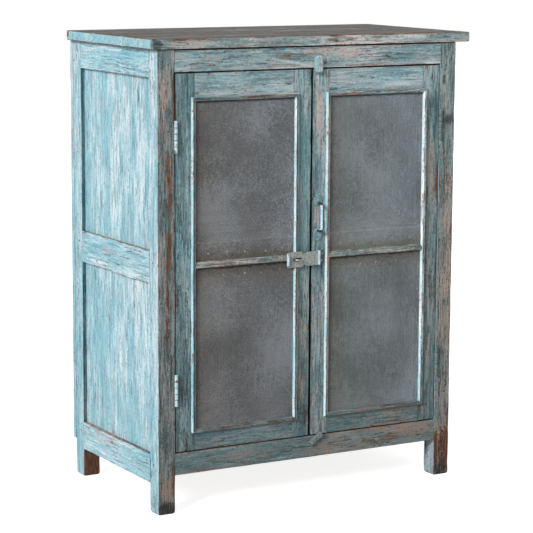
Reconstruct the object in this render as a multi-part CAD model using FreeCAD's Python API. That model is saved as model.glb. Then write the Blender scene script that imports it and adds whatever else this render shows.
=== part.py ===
# A free-standing wooden food cupboard with wire gauze doors, in millimetres.
# It is built about the middle of the carcass: X runs to the right, Y to the back,
# and Z up from the floor. The front faces of the posts lie at Y = 0 while it is built,
# and the finished pieces then move so that the origin is the middle of the whole base.
import FreeCAD, Part
import math
import os
from collections import namedtuple

# Overall size
cupboard_height = 1200.0
carcass_width = 884.0
carcass_depth = 492.0
foot_height = 100.0

# Posts and rails
post_width = 47.5
foot_rounding = 8.0
front_rail_height = 56.5
side_rail_thickness = 28.0
side_top_rail_height = 71.0
side_middle_rail_drop = 501.5
side_middle_rail_height = 85.5
side_bottom_rail_low = 76.5
side_bottom_rail_height = 75.5
side_bottom_rail_chamfer = 4.0
back_rail_height = 64.0
tenon_length = 26.0
tenon_thickness = 11.0
tenon_shoulder = 8.0
mortise_relief = 1.0
peg_radius = 3.0
peg_length = 24.0
peg_setback = 18.0
side_peg_height_share = 0.66
front_peg_height_share = 0.34

# Side panels
panel_thickness = 10.0
panel_recess = 10.7
panel_tongue = 7.0
panel_play = 1.0

# Top boards
top_thickness = 26.0
top_overhang_left = 15.5
top_overhang_right = 42.0
top_overhang_front = 4.5
top_overhang_back = 8.0
top_chamfer = 2.5
top_board_names = ("front", "middle", "back")
plank_gap = 0.6

# Back boards, floor, shelf and door stops
back_board_count = 6
back_board_thickness = 18.5
back_board_low = 97.0
inner_board_count = 3
inner_board_thickness = 18.0
board_play = 0.5
shelf_rise = 19.5
cleat_height = 30.0
cleat_width = 20.0
door_stop_height = 30.0
door_stop_drop = 15.0
door_stop_thickness = 16.0

# Doors
door_thickness = 24.5
door_setback = 0.5
door_stop_gap = 0.5
hinge_gap = 2.0
meeting_gap = 4.0
door_end_gap = 3.0
hinge_stile_show = 43.0
lock_stile_show = 39.75
door_top_rail_show = 58.5
door_bottom_rail_show = 46.0
door_middle_rail_drop = 3.0
door_middle_rail_height = 100.0
door_tenon_length = 34.0

# Gauze and beads
gauze_thickness = 0.8
gauze_margin = 1.0
gauze_opening_columns = 10
gauze_opening_share = 0.75
bead_width = 10.5
bead_thickness = 8.0
bead_chamfer = 2.5
middle_bead_width = 16.0
middle_bead_drop = 5.0
middle_bead_bevel_share = 0.4

# Butt hinges
hinge_length = 78.0
hinge_low_inset = 160.5
hinge_high_inset = 156.0
barrel_radius = 4.5
barrel_clearance = 0.35
leaf_width = 24.0
leaf_thickness = 1.6
knuckle_count = 5
knuckle_gap = 0.3
hinge_pin_radius = 1.9
hinge_pin_clearance = 0.05
hinge_pin_cap = 1.5
hinge_screw_spread = 26.0
hinge_screw_setback_share = 0.55

# Countersunk screws
screw_head_radius = 3.4
screw_head_height = 1.8
screw_shank_radius = 1.6
screw_length = 15.0

# Hasp, its plate and the staple
hasp_drop = 5.0
hasp_axis_offset = 19.5
hasp_barrel_radius = 4.6
hasp_pin_radius = 1.5
hasp_thickness = 2.2
hasp_bead_clearance = 1.0
hasp_plate_height = 36.0
hasp_plate_reach = 19.0
hasp_plate_thickness = 2.0
hasp_plate_screw_spread = 9.0
hasp_reach = 96.5
hasp_end_height = 40.0
hasp_end_radius = 7.0
hasp_lip_reach = 7.5
hasp_waist_offset = 45.0
hasp_waist_height = 28.0
hasp_waist_radius = 8.0
hasp_slot_offset = 66.0
hasp_slot_length = 27.0
hasp_slot_height = 9.5
hasp_knuckle_count = 3
staple_wire_radius = 2.0
staple_bend_radius = 9.0
staple_projection = 24.0
staple_depth = 18.0

# Pull handle
handle_hasp_gap = 25.0
handle_offset = 19.5
handle_length = 126.5
handle_plate_width = 24.0
handle_plate_base_width = 17.0
handle_plate_height = 34.0
handle_plate_thickness = 2.2
handle_grip_radius = 4.5
handle_grip_inset = 27.75
handle_projection = 22.0
handle_bend_radius = 10.0
handle_screw_inset = 11.0

# Turn buttons
top_button_offset = 15.1
top_button_rise = 12.5
top_button_width = 21.6
top_button_length = 44.0
top_button_thickness = 13.0
top_button_bevel = 4.0
top_button_corner = 8.0
bottom_button_offset = 2.5
bottom_button_drop = 17.5
bottom_button_length = 44.5
bottom_button_end = 4.5
bottom_button_width = 13.0
bottom_button_corner = 1.5
bottom_button_thickness = 9.0
bottom_button_lean = 34.0
button_clearance = 0.6
button_pivot_radius = 2.0
button_pivot_clearance = 0.05
button_pivot_depth = 18.0
button_pivot_head_radius = 3.4
button_pivot_head_height = 1.6
button_pivot_head_gap = 0.3

# Places worked out from the sizes above
half_width = carcass_width / 2
opening_half_width = half_width - post_width
post_height = cupboard_height - top_thickness
front_rail_thickness = door_setback + door_thickness + door_stop_gap
floor_height = foot_height + front_rail_height
side_middle_rail_high = post_height - side_middle_rail_drop
shelf_height = side_middle_rail_high + shelf_rise
door_low = floor_height + door_end_gap
door_high = post_height - front_rail_height - door_end_gap
door_middle_rail_middle = shelf_height - door_middle_rail_drop - door_middle_rail_height / 2
middle_bead_middle = door_middle_rail_middle - middle_bead_drop
hinge_heights = (door_low + hinge_low_inset, door_high - hinge_high_inset)
hinge_edge = -opening_half_width + hinge_gap
meeting_edge = -meeting_gap / 2
hinge_axis = (-opening_half_width + hinge_gap / 2, -(barrel_radius + barrel_clearance))
gauze_front = door_setback - gauze_thickness
bead_front = gauze_front - bead_thickness
hasp_back = bead_front - hasp_bead_clearance
hasp_front = hasp_back - hasp_thickness
hasp_axis = (hasp_axis_offset, hasp_front + hasp_barrel_radius)
hasp_middle_height = middle_bead_middle - hasp_drop
handle_grip_span = handle_length - 2 * handle_grip_inset
handle_middle_height = hasp_middle_height + (hasp_plate_height + handle_length) / 2 + handle_hasp_gap
top_button_height = door_high + top_button_rise
bottom_button_height = floor_height - bottom_button_drop
total_projection = handle_projection + handle_grip_radius
total_depth = total_projection + carcass_depth + back_board_thickness
carcass_middle_x = (top_overhang_left - top_overhang_right) / 2
front_face_y = total_projection - total_depth / 2

along_x = FreeCAD.Vector(1, 0, 0)
along_y = FreeCAD.Vector(0, 1, 0)
along_z = FreeCAD.Vector(0, 0, 1)
origin = FreeCAD.Vector(0, 0, 0)

# A rail lies between a low and a high place on each axis, and runs along X or Y.
Rail = namedtuple("Rail", "run x y z")


def block(x, y, z):
    """A box between two places on each axis, given in either order."""
    sizes = [abs(pair[1] - pair[0]) for pair in (x, y, z)]
    corner = FreeCAD.Vector(min(x), min(y), min(z))
    return Part.makeBox(*sizes, corner)


def around(middle, width):
    return (middle - width / 2, middle + width / 2)


def mirrored(shape):
    """The same piece on the other side of the carcass's middle."""
    return shape.mirror(origin, along_x)


def plate_from_outline(points, y):
    """A flat plate whose outline is straight between the given (x, z) points."""
    corners = [FreeCAD.Vector(x, y[0], z) for x, z in points]
    face = Part.Face(Part.makePolygon(corners + corners[:1]))
    return face.extrude(along_y * (y[1] - y[0]))


def edges_where(shape, keep):
    """The edges whose middle and direction pass a test."""
    return [edge for edge in shape.Edges if keep(edge.CenterOfMass, edge.tangentAt(edge.FirstParameter))]


def fused(shapes):
    return shapes[0].multiFuse(shapes[1:]).removeSplitter()


# Framing

def tenon_bar(rail, length):
    """A rail's two tenons as one bar, which passes its shoulders by the given length."""
    z = (rail.z[0] + tenon_shoulder, rail.z[1] - tenon_shoulder)
    if rail.run == "x":
        x = (rail.x[0] - length, rail.x[1] + length)
        return block(x, around(sum(rail.y) / 2, tenon_thickness), z)
    y = (rail.y[0] - length, rail.y[1] + length)
    return block(around(sum(rail.x) / 2, tenon_thickness), y, z)


def rail_solid(rail, length):
    return fused([block(rail.x, rail.y, rail.z), tenon_bar(rail, length)])


def cross_rail(z, y):
    """A rail across the carcass, between the posts."""
    return Rail("x", (-opening_half_width, opening_half_width), y, z)


def side_rail(low, height):
    """A rail of the left side, between the front and back posts."""
    x = (-half_width, -half_width + side_rail_thickness)
    return Rail("y", x, (post_width, carcass_depth - post_width), (low, low + height))


front_y = (0, front_rail_thickness)
back_y = (carcass_depth - side_rail_thickness, carcass_depth)
front_top_rail = cross_rail((post_height - front_rail_height, post_height), front_y)
front_bottom_rail = cross_rail((foot_height, floor_height), front_y)
back_top_rail = cross_rail((post_height - back_rail_height, post_height), back_y)
back_bottom_rail = cross_rail((foot_height, foot_height + back_rail_height), back_y)
side_rails = {
    "top": side_rail(post_height - side_top_rail_height, side_top_rail_height),
    "middle": side_rail(side_middle_rail_high - side_middle_rail_height, side_middle_rail_height),
    "bottom": side_rail(side_bottom_rail_low, side_bottom_rail_height),
}


def side_panel(below, above, grown):
    """The panel between two side rails. A grown one is the groove that it slides in."""
    x = (-half_width + panel_recess, -half_width + panel_recess + panel_thickness)
    reach = panel_tongue + grown
    y = (post_width - reach, carcass_depth - post_width + reach)
    return block(x, y, (below.z[1] - reach, above.z[0] + reach))


side_panels = {
    "upper": (side_rails["middle"], side_rails["top"]),
    "lower": (side_rails["bottom"], side_rails["middle"]),
}
panel_grooves = [side_panel(*pair, panel_play) for pair in side_panels.values()]


def side_pegs():
    """The pegs that pin each tenon of the left side, driven from outside."""
    pegs = []
    for rail in side_rails.values():
        height = rail.z[0] + side_peg_height_share * (rail.z[1] - rail.z[0])
        for y in (post_width - peg_setback, carcass_depth - post_width + peg_setback):
            start = FreeCAD.Vector(-half_width, y, height)
            pegs.append(Part.makeCylinder(peg_radius, peg_length, start, along_x))
    return pegs


def front_pegs():
    """The pegs that pin the front rails in the left post, driven from the front."""
    pegs = []
    for rail in (front_top_rail, front_bottom_rail):
        height = rail.z[0] + front_peg_height_share * (rail.z[1] - rail.z[0])
        start = FreeCAD.Vector(-opening_half_width - peg_setback, 0, height)
        pegs.append(Part.makeCylinder(peg_radius, peg_length, start, along_y))
    return pegs


def left_post(y):
    """One left post, with its foot rounded over all round its end."""
    post = block((-half_width, -half_width + post_width), y, (0, post_height))
    foot_edges = edges_where(post, lambda middle, way: middle.z < foot_rounding)
    return post.makeFillet(foot_rounding, foot_edges)


def mortises(rails, length):
    return [tenon_bar(rail, length + mortise_relief) for rail in rails]


def side_rail_solid(name):
    """A side rail, grooved for the panels that it meets."""
    rail = side_rails[name]
    solid = rail_solid(rail, tenon_length)
    if name == "bottom":
        worn = edges_where(solid, lambda middle, way: middle.x < rail.x[0] + peg_radius
                           and middle.z > rail.z[1] - peg_radius and abs(way.y) > abs(way.z))
        solid = solid.makeChamfer(side_bottom_rail_chamfer, worn)
    return solid.cut(panel_grooves + side_pegs())


# Top, back, floor, shelf and stops

def planks(x, y, z, count):
    """Boards that run along X, side by side from the front to the back."""
    width = (y[1] - y[0] - plank_gap * (count - 1)) / count
    lows = [y[0] + number * (width + plank_gap) for number in range(count)]
    return [block(x, (low, low + width), z) for low in lows]


def top_boards():
    """The top's boards, cut from one slab whose outer edges are eased."""
    x = (-half_width - top_overhang_left, half_width + top_overhang_right)
    y = (-top_overhang_front, carcass_depth + top_overhang_back)
    z = (post_height, cupboard_height)
    slab = block(x, y, z)
    slab = slab.makeChamfer(top_chamfer, slab.Edges)
    strips = planks(x, y, z, len(top_board_names))
    return {name: slab.common(strip) for name, strip in zip(top_board_names, strips)}


def back_boards():
    """Upright boards, nailed over the back posts and rails."""
    width = (carcass_width - plank_gap * (back_board_count - 1)) / back_board_count
    boards = []
    for number in range(back_board_count):
        left = -half_width + number * (width + plank_gap)
        x = (left, left + width)
        y = (carcass_depth, carcass_depth + back_board_thickness)
        boards.append(block(x, y, (back_board_low, post_height)))
    return boards


def inner_boards(top, y):
    """The floor or the shelf: boards notched round the posts."""
    reach = half_width - side_rail_thickness - board_play
    boards = planks((-reach, reach), y, (top - inner_board_thickness, top), inner_board_count)
    notches = []
    for side in (-1, 1):
        x = (side * half_width, side * (opening_half_width - board_play))
        for post_y in ((0, post_width + board_play), (carcass_depth - post_width - board_play, carcass_depth)):
            notches.append(block(x, post_y, (0, post_height)))
    return [board.cut(notches) for board in boards]


def cleats(board_top):
    """The left and right cleats that carry the floor or the shelf."""
    high = board_top - inner_board_thickness
    x = (-half_width + side_rail_thickness, -half_width + side_rail_thickness + cleat_width)
    left = block(x, (post_width, carcass_depth - post_width), (high - cleat_height, high))
    return [left, mirrored(left)]


def door_stop(z):
    """A strip behind the doors' ends, which they close against."""
    x = (-opening_half_width, opening_half_width)
    return block(x, (front_rail_thickness, front_rail_thickness + door_stop_thickness), z)


# Fasteners

def countersunk_screw(start, way):
    """A countersunk screw whose head is flush at start."""
    head = Part.makeCone(screw_head_radius, screw_shank_radius, screw_head_height, start, way)
    shank = Part.makeCylinder(screw_shank_radius, screw_length, start, way)
    return fused([head, shank])


# Doors

def door_rail(low, high):
    """A rail of the left door, between its stiles."""
    x = (hinge_edge + hinge_stile_show + bead_width, meeting_edge - lock_stile_show - bead_width)
    return Rail("x", x, (door_setback, door_setback + door_thickness), (low, high))


door_rails = {
    "top": door_rail(door_high - door_top_rail_show - bead_width, door_high),
    "middle": door_rail(*around(door_middle_rail_middle, door_middle_rail_height)),
    "bottom": door_rail(door_low, door_low + door_bottom_rail_show + bead_width),
}
bead_x = (hinge_edge + hinge_stile_show, meeting_edge - lock_stile_show)
bead_z = (door_low + door_bottom_rail_show, door_high - door_top_rail_show)
gauze_x = (bead_x[0] + bead_width, bead_x[1] - bead_width)
gauze_z = (bead_z[0] + bead_width, bead_z[1] - bead_width)


def gauze_openings(z):
    """A plain grid of openings over one of the left door's two fields."""
    columns = gauze_opening_columns
    width = (gauze_x[1] - gauze_x[0]) / columns
    rows = round((z[1] - z[0]) / width)
    height = (z[1] - z[0]) / rows
    openings = []
    for column in range(columns):
        x = around(gauze_x[0] + (column + 0.5) * width, width * gauze_opening_share)
        for row in range(rows):
            middle = z[0] + (row + 0.5) * height
            openings.append(block(x, (gauze_front, door_setback), around(middle, height * gauze_opening_share)))
    return openings


def gauze_sheet():
    """The left door's sheet of wire gauze, held at its edges by the beads, as a coarse grid."""
    x = (bead_x[0] + gauze_margin, bead_x[1] - gauze_margin)
    z = (bead_z[0] + gauze_margin, bead_z[1] - gauze_margin)
    low, high = door_rails["middle"].z
    openings = gauze_openings((gauze_z[0], low)) + gauze_openings((high, gauze_z[1]))
    return block(x, (gauze_front, door_setback), z).cut(openings)


def frame_beads():
    """Four beads round the left door's gauze, mitred at the corners."""
    y = (bead_front, gauze_front)
    frame = block(bead_x, y, bead_z).cut(block(gauze_x, y, gauze_z))
    arrises = edges_where(frame, lambda middle, way: middle.y < bead_front + bead_chamfer
                          and abs(way.y) < math.cos(math.pi / 4))
    frame = frame.makeChamfer(bead_chamfer, arrises)
    outer = [(bead_x[0], bead_z[0]), (bead_x[1], bead_z[0]), (bead_x[1], bead_z[1]), (bead_x[0], bead_z[1])]
    inner = [(gauze_x[0], gauze_z[0]), (gauze_x[1], gauze_z[0]), (gauze_x[1], gauze_z[1]), (gauze_x[0], gauze_z[1])]
    beads = []
    for number in range(len(outer)):
        following = (number + 1) % len(outer)
        corners = [outer[number], outer[following], inner[following], inner[number]]
        beads.append(frame.common(plate_from_outline(corners, y)))
    return beads


def middle_bead():
    """The bevelled bead across the left door's middle rail."""
    low, high = around(middle_bead_middle, middle_bead_width)
    bevel = middle_bead_width * middle_bead_bevel_share
    section = [(gauze_front, low), (bead_front, low + bead_chamfer), (bead_front, high - bevel), (gauze_front, high)]
    corners = [FreeCAD.Vector(gauze_x[0], y, z) for y, z in section]
    face = Part.Face(Part.makePolygon(corners + corners[:1]))
    return face.extrude(along_x * (gauze_x[1] - gauze_x[0]))


# Butt hinges, on the left door

def knuckles(axis, radius, low, height, count, chosen, gap):
    """The chosen knuckles of a barrel that is divided into equal lengths."""
    pieces = []
    for number in chosen:
        start = low + height * number / count + (gap if number > 0 else 0)
        end = low + height * (number + 1) / count - (gap if number < count - 1 else 0)
        pieces.append((start, end, Part.makeCylinder(radius, end - start, FreeCAD.Vector(*axis, start))))
    return pieces


def hinge_leaf(height, x, chosen, hole_radius):
    """One leaf: a plate let into the wood, and its knuckles round the pin."""
    low = height - hinge_length / 2
    y = (door_setback, door_setback + leaf_width)
    pieces = [block(x, y, (low, low + hinge_length))]
    gap = knuckle_gap / 2
    for start, end, barrel in knuckles(hinge_axis, barrel_radius, low, hinge_length, knuckle_count, chosen, gap):
        pieces += [barrel, block(x, (hinge_axis[1], y[0]), (start, end))]
    hole = Part.makeCylinder(hole_radius, hinge_length, FreeCAD.Vector(*hinge_axis, low))
    return fused(pieces).cut(hole)


def post_leaf(height):
    x = (-opening_half_width - leaf_thickness, -opening_half_width)
    return hinge_leaf(height, x, range(0, knuckle_count, 2), hinge_pin_radius)


def door_leaf(height):
    x = (hinge_edge, hinge_edge + leaf_thickness)
    return hinge_leaf(height, x, range(1, knuckle_count, 2), hinge_pin_radius + hinge_pin_clearance)


def hinge_pin(height):
    """A hinge pin with a cap on each end."""
    low = height - hinge_length / 2
    base = FreeCAD.Vector(*hinge_axis, low)
    pieces = [Part.makeCylinder(hinge_pin_radius, hinge_length, base)]
    cap_radius = barrel_radius - hinge_pin_cap / 2
    for start, way in ((base, -along_z), (base + along_z * hinge_length, along_z)):
        pieces.append(Part.makeCone(barrel_radius, cap_radius, hinge_pin_cap, start, way))
    return fused(pieces)


def hinge_screws(height, x, way):
    """Three screws through one leaf, along X."""
    y = door_setback + leaf_width * hinge_screw_setback_share
    places = [height + shift for shift in (-hinge_screw_spread, 0, hinge_screw_spread)]
    return [countersunk_screw(FreeCAD.Vector(x, y, z), way) for z in places]


def for_both_hinges(build, *values):
    """What build makes at the height of each hinge, as one list."""
    made = []
    for height in hinge_heights:
        result = build(height, *values)
        made += result if isinstance(result, list) else [result]
    return made


# Hasp and staple

def hasp_plate():
    """The hasp's fixed leaf, on the right door's lock stile."""
    low = hasp_middle_height - hasp_plate_height / 2
    y = (door_setback - hasp_plate_thickness, door_setback)
    plate_x = (hasp_axis[0], hasp_axis[0] + hasp_plate_reach)
    pieces = [block(plate_x, y, (low, low + hasp_plate_height))]
    link_x = (hasp_axis[0], hasp_axis[0] + hasp_plate_thickness)
    chosen = range(0, hasp_knuckle_count, 2)
    for start, end, barrel in knuckles(hasp_axis, hasp_barrel_radius, low, hasp_plate_height,
                                       hasp_knuckle_count, chosen, knuckle_gap / 2):
        pieces += [barrel, block(link_x, (hasp_axis[1], y[1]), (start, end))]
    hole = Part.makeCylinder(hasp_pin_radius, hasp_plate_height, FreeCAD.Vector(*hasp_axis, low))
    return fused(pieces).cut(hole)


def hasp_pin():
    low = hasp_middle_height - hasp_plate_height / 2
    return Part.makeCylinder(hasp_pin_radius, hasp_plate_height, FreeCAD.Vector(*hasp_axis, low))


def slot_cutter(x, z, length, height, y):
    """A round-ended slot that lies along X."""
    straight = length / 2 - height / 2
    pieces = [block(around(x, 2 * straight), y, around(z, height))]
    for side in (-1, 1):
        centre = FreeCAD.Vector(x + side * straight, y[0], z)
        pieces.append(Part.makeCylinder(height / 2, y[1] - y[0], centre, along_y))
    return fused(pieces)


def hasp_strap():
    """The swinging leaf: a waisted plate with a slot, and an end turned out to lift it by."""
    y = (hasp_front, hasp_back)
    end_x = hasp_axis[0] - hasp_reach
    waist_x = hasp_axis[0] - hasp_waist_offset
    root_x = hasp_axis[0] - hasp_barrel_radius - knuckle_gap
    z = around(hasp_middle_height, hasp_end_height)
    end_plate = block((end_x, waist_x), y, z)
    corners = edges_where(end_plate, lambda middle, way: middle.x < end_x + hasp_thickness and abs(way.y) > abs(way.z))
    end_plate = end_plate.makeFillet(hasp_end_radius, corners)
    lip_z = around(hasp_middle_height, hasp_end_height - 2 * hasp_end_radius)
    lip = block((end_x, end_x + hasp_thickness), (hasp_front - hasp_lip_reach, hasp_back), lip_z)
    root = block((waist_x, root_x), y, around(hasp_middle_height, hasp_plate_height))
    low = hasp_middle_height - hasp_plate_height / 2
    start, end, barrel = knuckles(hasp_axis, hasp_barrel_radius, low, hasp_plate_height,
                                  hasp_knuckle_count, (1,), knuckle_gap / 2)[0]
    link = block((root_x, hasp_axis[0]), y, (start, end))
    hole_radius = hasp_pin_radius + hinge_pin_clearance
    cutters = [Part.makeCylinder(hole_radius, end - start, FreeCAD.Vector(*hasp_axis, start))]
    slot_x = hasp_axis[0] - hasp_slot_offset
    cutters.append(slot_cutter(slot_x, hasp_middle_height, hasp_slot_length, hasp_slot_height, y))
    for side in (-1, 1):
        notch_z = hasp_middle_height + side * (hasp_waist_height / 2 + hasp_waist_radius)
        centre = FreeCAD.Vector(waist_x, hasp_front, notch_z)
        cutters.append(Part.makeCylinder(hasp_waist_radius, hasp_thickness, centre, along_y))
    return fused([end_plate, lip, root, link, barrel]).cut(cutters)


def staple():
    """A bent wire loop, driven into the left door, that stands out through the slot."""
    middle = hasp_axis[0] - hasp_slot_offset
    bend_y = -staple_projection + staple_wire_radius + staple_bend_radius
    left = FreeCAD.Vector(middle - staple_bend_radius, staple_depth, hasp_middle_height)
    right = FreeCAD.Vector(middle + staple_bend_radius, staple_depth, hasp_middle_height)
    left_bend = FreeCAD.Vector(left.x, bend_y, left.z)
    right_bend = FreeCAD.Vector(right.x, bend_y, right.z)
    crown = FreeCAD.Vector(middle, bend_y - staple_bend_radius, hasp_middle_height)
    path = Part.Wire([Part.LineSegment(left, left_bend).toShape(),
                      Part.Arc(left_bend, crown, right_bend).toShape(),
                      Part.LineSegment(right_bend, right).toShape()])
    section = Part.Wire([Part.Circle(left, along_y, staple_wire_radius).toShape()])
    return path.makePipe(Part.Face(section))


# Pull handle, on the right door

def handle_plate(side):
    """One leaf-shaped end plate, with its point away from the grip."""
    tip_z = handle_middle_height + side * handle_length / 2
    base_z = tip_z - side * handle_plate_height
    wide_z = (tip_z + base_z) / 2
    back = door_setback
    base = [FreeCAD.Vector(handle_offset + shift * handle_plate_base_width / 2, back, base_z) for shift in (-1, 1)]
    wide = [FreeCAD.Vector(handle_offset + shift * handle_plate_width / 2, back, wide_z) for shift in (-1, 1)]
    tip = FreeCAD.Vector(handle_offset, back, tip_z)
    outline = Part.Wire([Part.Arc(base[0], wide[0], tip).toShape(),
                         Part.Arc(tip, wide[1], base[1]).toShape(),
                         Part.LineSegment(base[1], base[0]).toShape()])
    return Part.Face(outline).extrude(-along_y * handle_plate_thickness)


def handle_grip():
    """The bent bar between the end plates."""
    low_z, high_z = around(handle_middle_height, handle_grip_span)
    root_y = door_setback - handle_plate_thickness / 2
    bend_y = -handle_projection + handle_bend_radius
    corner = handle_bend_radius * (1 - math.cos(math.pi / 4))

    def point(y, z):
        return FreeCAD.Vector(handle_offset, y, z)

    path = Part.Wire([
        Part.LineSegment(point(root_y, low_z), point(bend_y, low_z)).toShape(),
        Part.Arc(point(bend_y, low_z), point(-handle_projection + corner, low_z + corner),
                 point(-handle_projection, low_z + handle_bend_radius)).toShape(),
        Part.LineSegment(point(-handle_projection, low_z + handle_bend_radius),
                         point(-handle_projection, high_z - handle_bend_radius)).toShape(),
        Part.Arc(point(-handle_projection, high_z - handle_bend_radius),
                 point(-handle_projection + corner, high_z - corner), point(bend_y, high_z)).toShape(),
        Part.LineSegment(point(bend_y, high_z), point(root_y, high_z)).toShape(),
    ])
    section = Part.Wire([Part.Circle(point(root_y, low_z), along_y, handle_grip_radius).toShape()])
    return path.makePipe(Part.Face(section))


def handle_screws():
    """One screw through each end plate."""
    y = door_setback - handle_plate_thickness
    inset = handle_length / 2 - handle_screw_inset
    places = [handle_middle_height - inset, handle_middle_height + inset]
    return [countersunk_screw(FreeCAD.Vector(handle_offset, y, z), along_y) for z in places]


def hasp_plate_screws():
    """Two screws through the hasp's fixed leaf."""
    x = hasp_axis[0] + (hasp_plate_reach + hasp_barrel_radius) / 2
    y = door_setback - hasp_plate_thickness
    places = [hasp_middle_height - hasp_plate_screw_spread, hasp_middle_height + hasp_plate_screw_spread]
    return [countersunk_screw(FreeCAD.Vector(x, y, z), along_y) for z in places]


# Turn buttons, on the front rails

def pivot_screw(x, height, thickness):
    """The round-headed screw that a turn button swings on."""
    front = -button_clearance - thickness - button_pivot_head_gap
    centre = FreeCAD.Vector(x, front, height)
    shank = Part.makeCylinder(button_pivot_radius, button_pivot_depth - front, centre, along_y)
    crown = button_pivot_head_radius - button_pivot_head_height / 2
    head = Part.makeCone(button_pivot_head_radius, crown, button_pivot_head_height, centre, -along_y)
    return fused([shank, head])


def pivot_hole(x, height, thickness):
    centre = FreeCAD.Vector(x, -button_clearance - thickness, height)
    return Part.makeCylinder(button_pivot_radius + button_pivot_clearance, thickness, centre, along_y)


def top_button():
    """The upright wooden button on the top rail, bevelled along both sides."""
    y = (-button_clearance - top_button_thickness, -button_clearance)
    z = around(top_button_height, top_button_length)
    body = block(around(top_button_offset, top_button_width), y, z)
    corners = edges_where(body, lambda middle, way: abs(way.y) > abs(way.z) and abs(way.y) > abs(way.x))
    body = body.makeFillet(top_button_corner, corners)
    sides = edges_where(body, lambda middle, way: middle.y < y[0] + top_button_corner and abs(way.z) > abs(way.x)
                        and abs(middle.z - top_button_height) < top_button_corner)
    body = body.makeChamfer(top_button_bevel, sides)
    return body.cut(pivot_hole(top_button_offset, top_button_height, top_button_thickness))


def bottom_button():
    """The slim wooden button on the bottom rail, which leans up to the right."""
    y = (-button_clearance - bottom_button_thickness, -button_clearance)
    left = bottom_button_offset - bottom_button_end
    body = block((left, left + bottom_button_length), y, around(bottom_button_height, bottom_button_width))
    body = body.makeChamfer(bottom_button_corner, edges_where(body, lambda middle, way: middle.y < y[1]))
    body = body.cut(pivot_hole(bottom_button_offset, bottom_button_height, bottom_button_thickness))
    pivot = FreeCAD.Vector(bottom_button_offset, 0, bottom_button_height)
    body.rotate(pivot, -along_y, bottom_button_lean)
    return body


# All the pieces

def posts_and_rails(parts, rail_holes):
    """The framing, with its left side built and its right side mirrored."""
    pegs = side_pegs() + front_pegs()
    leaves = for_both_hinges(post_leaf)
    screws = for_both_hinges(hinge_screws, -opening_half_width, -along_x)
    side_joints = mortises(side_rails.values(), tenon_length) + panel_grooves
    front_joints = mortises((front_top_rail, front_bottom_rail), tenon_length)
    back_joints = mortises((back_top_rail, back_bottom_rail), tenon_length)
    front_post = left_post((0, post_width)).cut(side_joints + front_joints + pegs + leaves + screws)
    back_post = left_post((carcass_depth - post_width, carcass_depth)).cut(side_joints + back_joints + pegs)
    for side, place in (("left", lambda shape: shape), ("right", mirrored)):
        parts["post_front_" + side] = [place(front_post)]
        parts["post_back_" + side] = [place(back_post)]
        for name in side_rails:
            parts["side_%s_%s_rail" % (side, name)] = [place(side_rail_solid(name))]
        for name, (below, above) in side_panels.items():
            parts["side_%s_%s_panel" % (side, name)] = [place(side_panel(below, above, 0))]
    mirrored_pegs = [mirrored(peg) for peg in front_pegs()]
    for name, rail in (("front_top_rail", front_top_rail), ("front_bottom_rail", front_bottom_rail)):
        solid = rail_solid(rail, tenon_length)
        parts[name] = [solid.cut(front_pegs() + mirrored_pegs + rail_holes)]
    parts["back_top_rail"] = [rail_solid(back_top_rail, tenon_length)]
    parts["back_bottom_rail"] = [rail_solid(back_bottom_rail, tenon_length)]
    parts["joint_pegs"] = pegs + [mirrored(peg) for peg in pegs]
    parts["hinge_post_leaves"] = both_sides([leaf.cut(screws) for leaf in leaves])
    parts["hinge_post_screws"] = both_sides(screws)
    parts["hinge_pins"] = both_sides(for_both_hinges(hinge_pin))


def both_sides(shapes):
    return shapes + [mirrored(shape) for shape in shapes]


def boards_and_cleats(parts):
    """The top, the back, the floor, the shelf and what carries them."""
    for name, board in top_boards().items():
        parts["top_board_" + name] = [board]
    parts["back_boards"] = back_boards()
    parts["floor_boards"] = inner_boards(floor_height, (front_rail_thickness, back_y[0]))
    parts["shelf_boards"] = inner_boards(shelf_height, (front_rail_thickness + board_play, back_y[1] - board_play))
    parts["board_cleats"] = cleats(floor_height) + cleats(shelf_height)
    top_low = front_top_rail.z[0] - door_stop_drop
    parts["door_stops"] = [door_stop((top_low, top_low + door_stop_height)),
                           door_stop((floor_height, floor_height + door_stop_drop))]


def door(parts, side, place, hardware):
    """One door. The hardware is what cuts its stiles, rails, gauze and beads."""
    prefix = "door_%s_" % side
    y = (door_setback, door_setback + door_thickness)
    z = (door_low, door_high)
    joints = mortises(door_rails.values(), door_tenon_length)
    leaves = for_both_hinges(door_leaf)
    screws = for_both_hinges(hinge_screws, hinge_edge, along_x)
    hinge_stile = block((hinge_edge, door_rails["top"].x[0]), y, z).cut(joints + leaves + screws)
    lock_stile = block((door_rails["top"].x[1], meeting_edge), y, z).cut(joints)
    parts[prefix + "hinge_stile"] = [place(hinge_stile)]
    parts[prefix + "lock_stile"] = [place(lock_stile).cut(hardware)]
    for name, rail in door_rails.items():
        solid = rail_solid(rail, door_tenon_length)
        parts[prefix + name + "_rail"] = [place(solid).cut(hardware)]
    parts[prefix + "gauze"] = [place(gauze_sheet()).cut(hardware)]
    parts[prefix + "beads"] = [place(bead).cut(hardware) for bead in frame_beads() + [middle_bead()]]
    parts[prefix + "hinge_leaves"] = [place(leaf.cut(screws)) for leaf in leaves]
    parts[prefix + "hinge_screws"] = [place(screw) for screw in screws]


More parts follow.
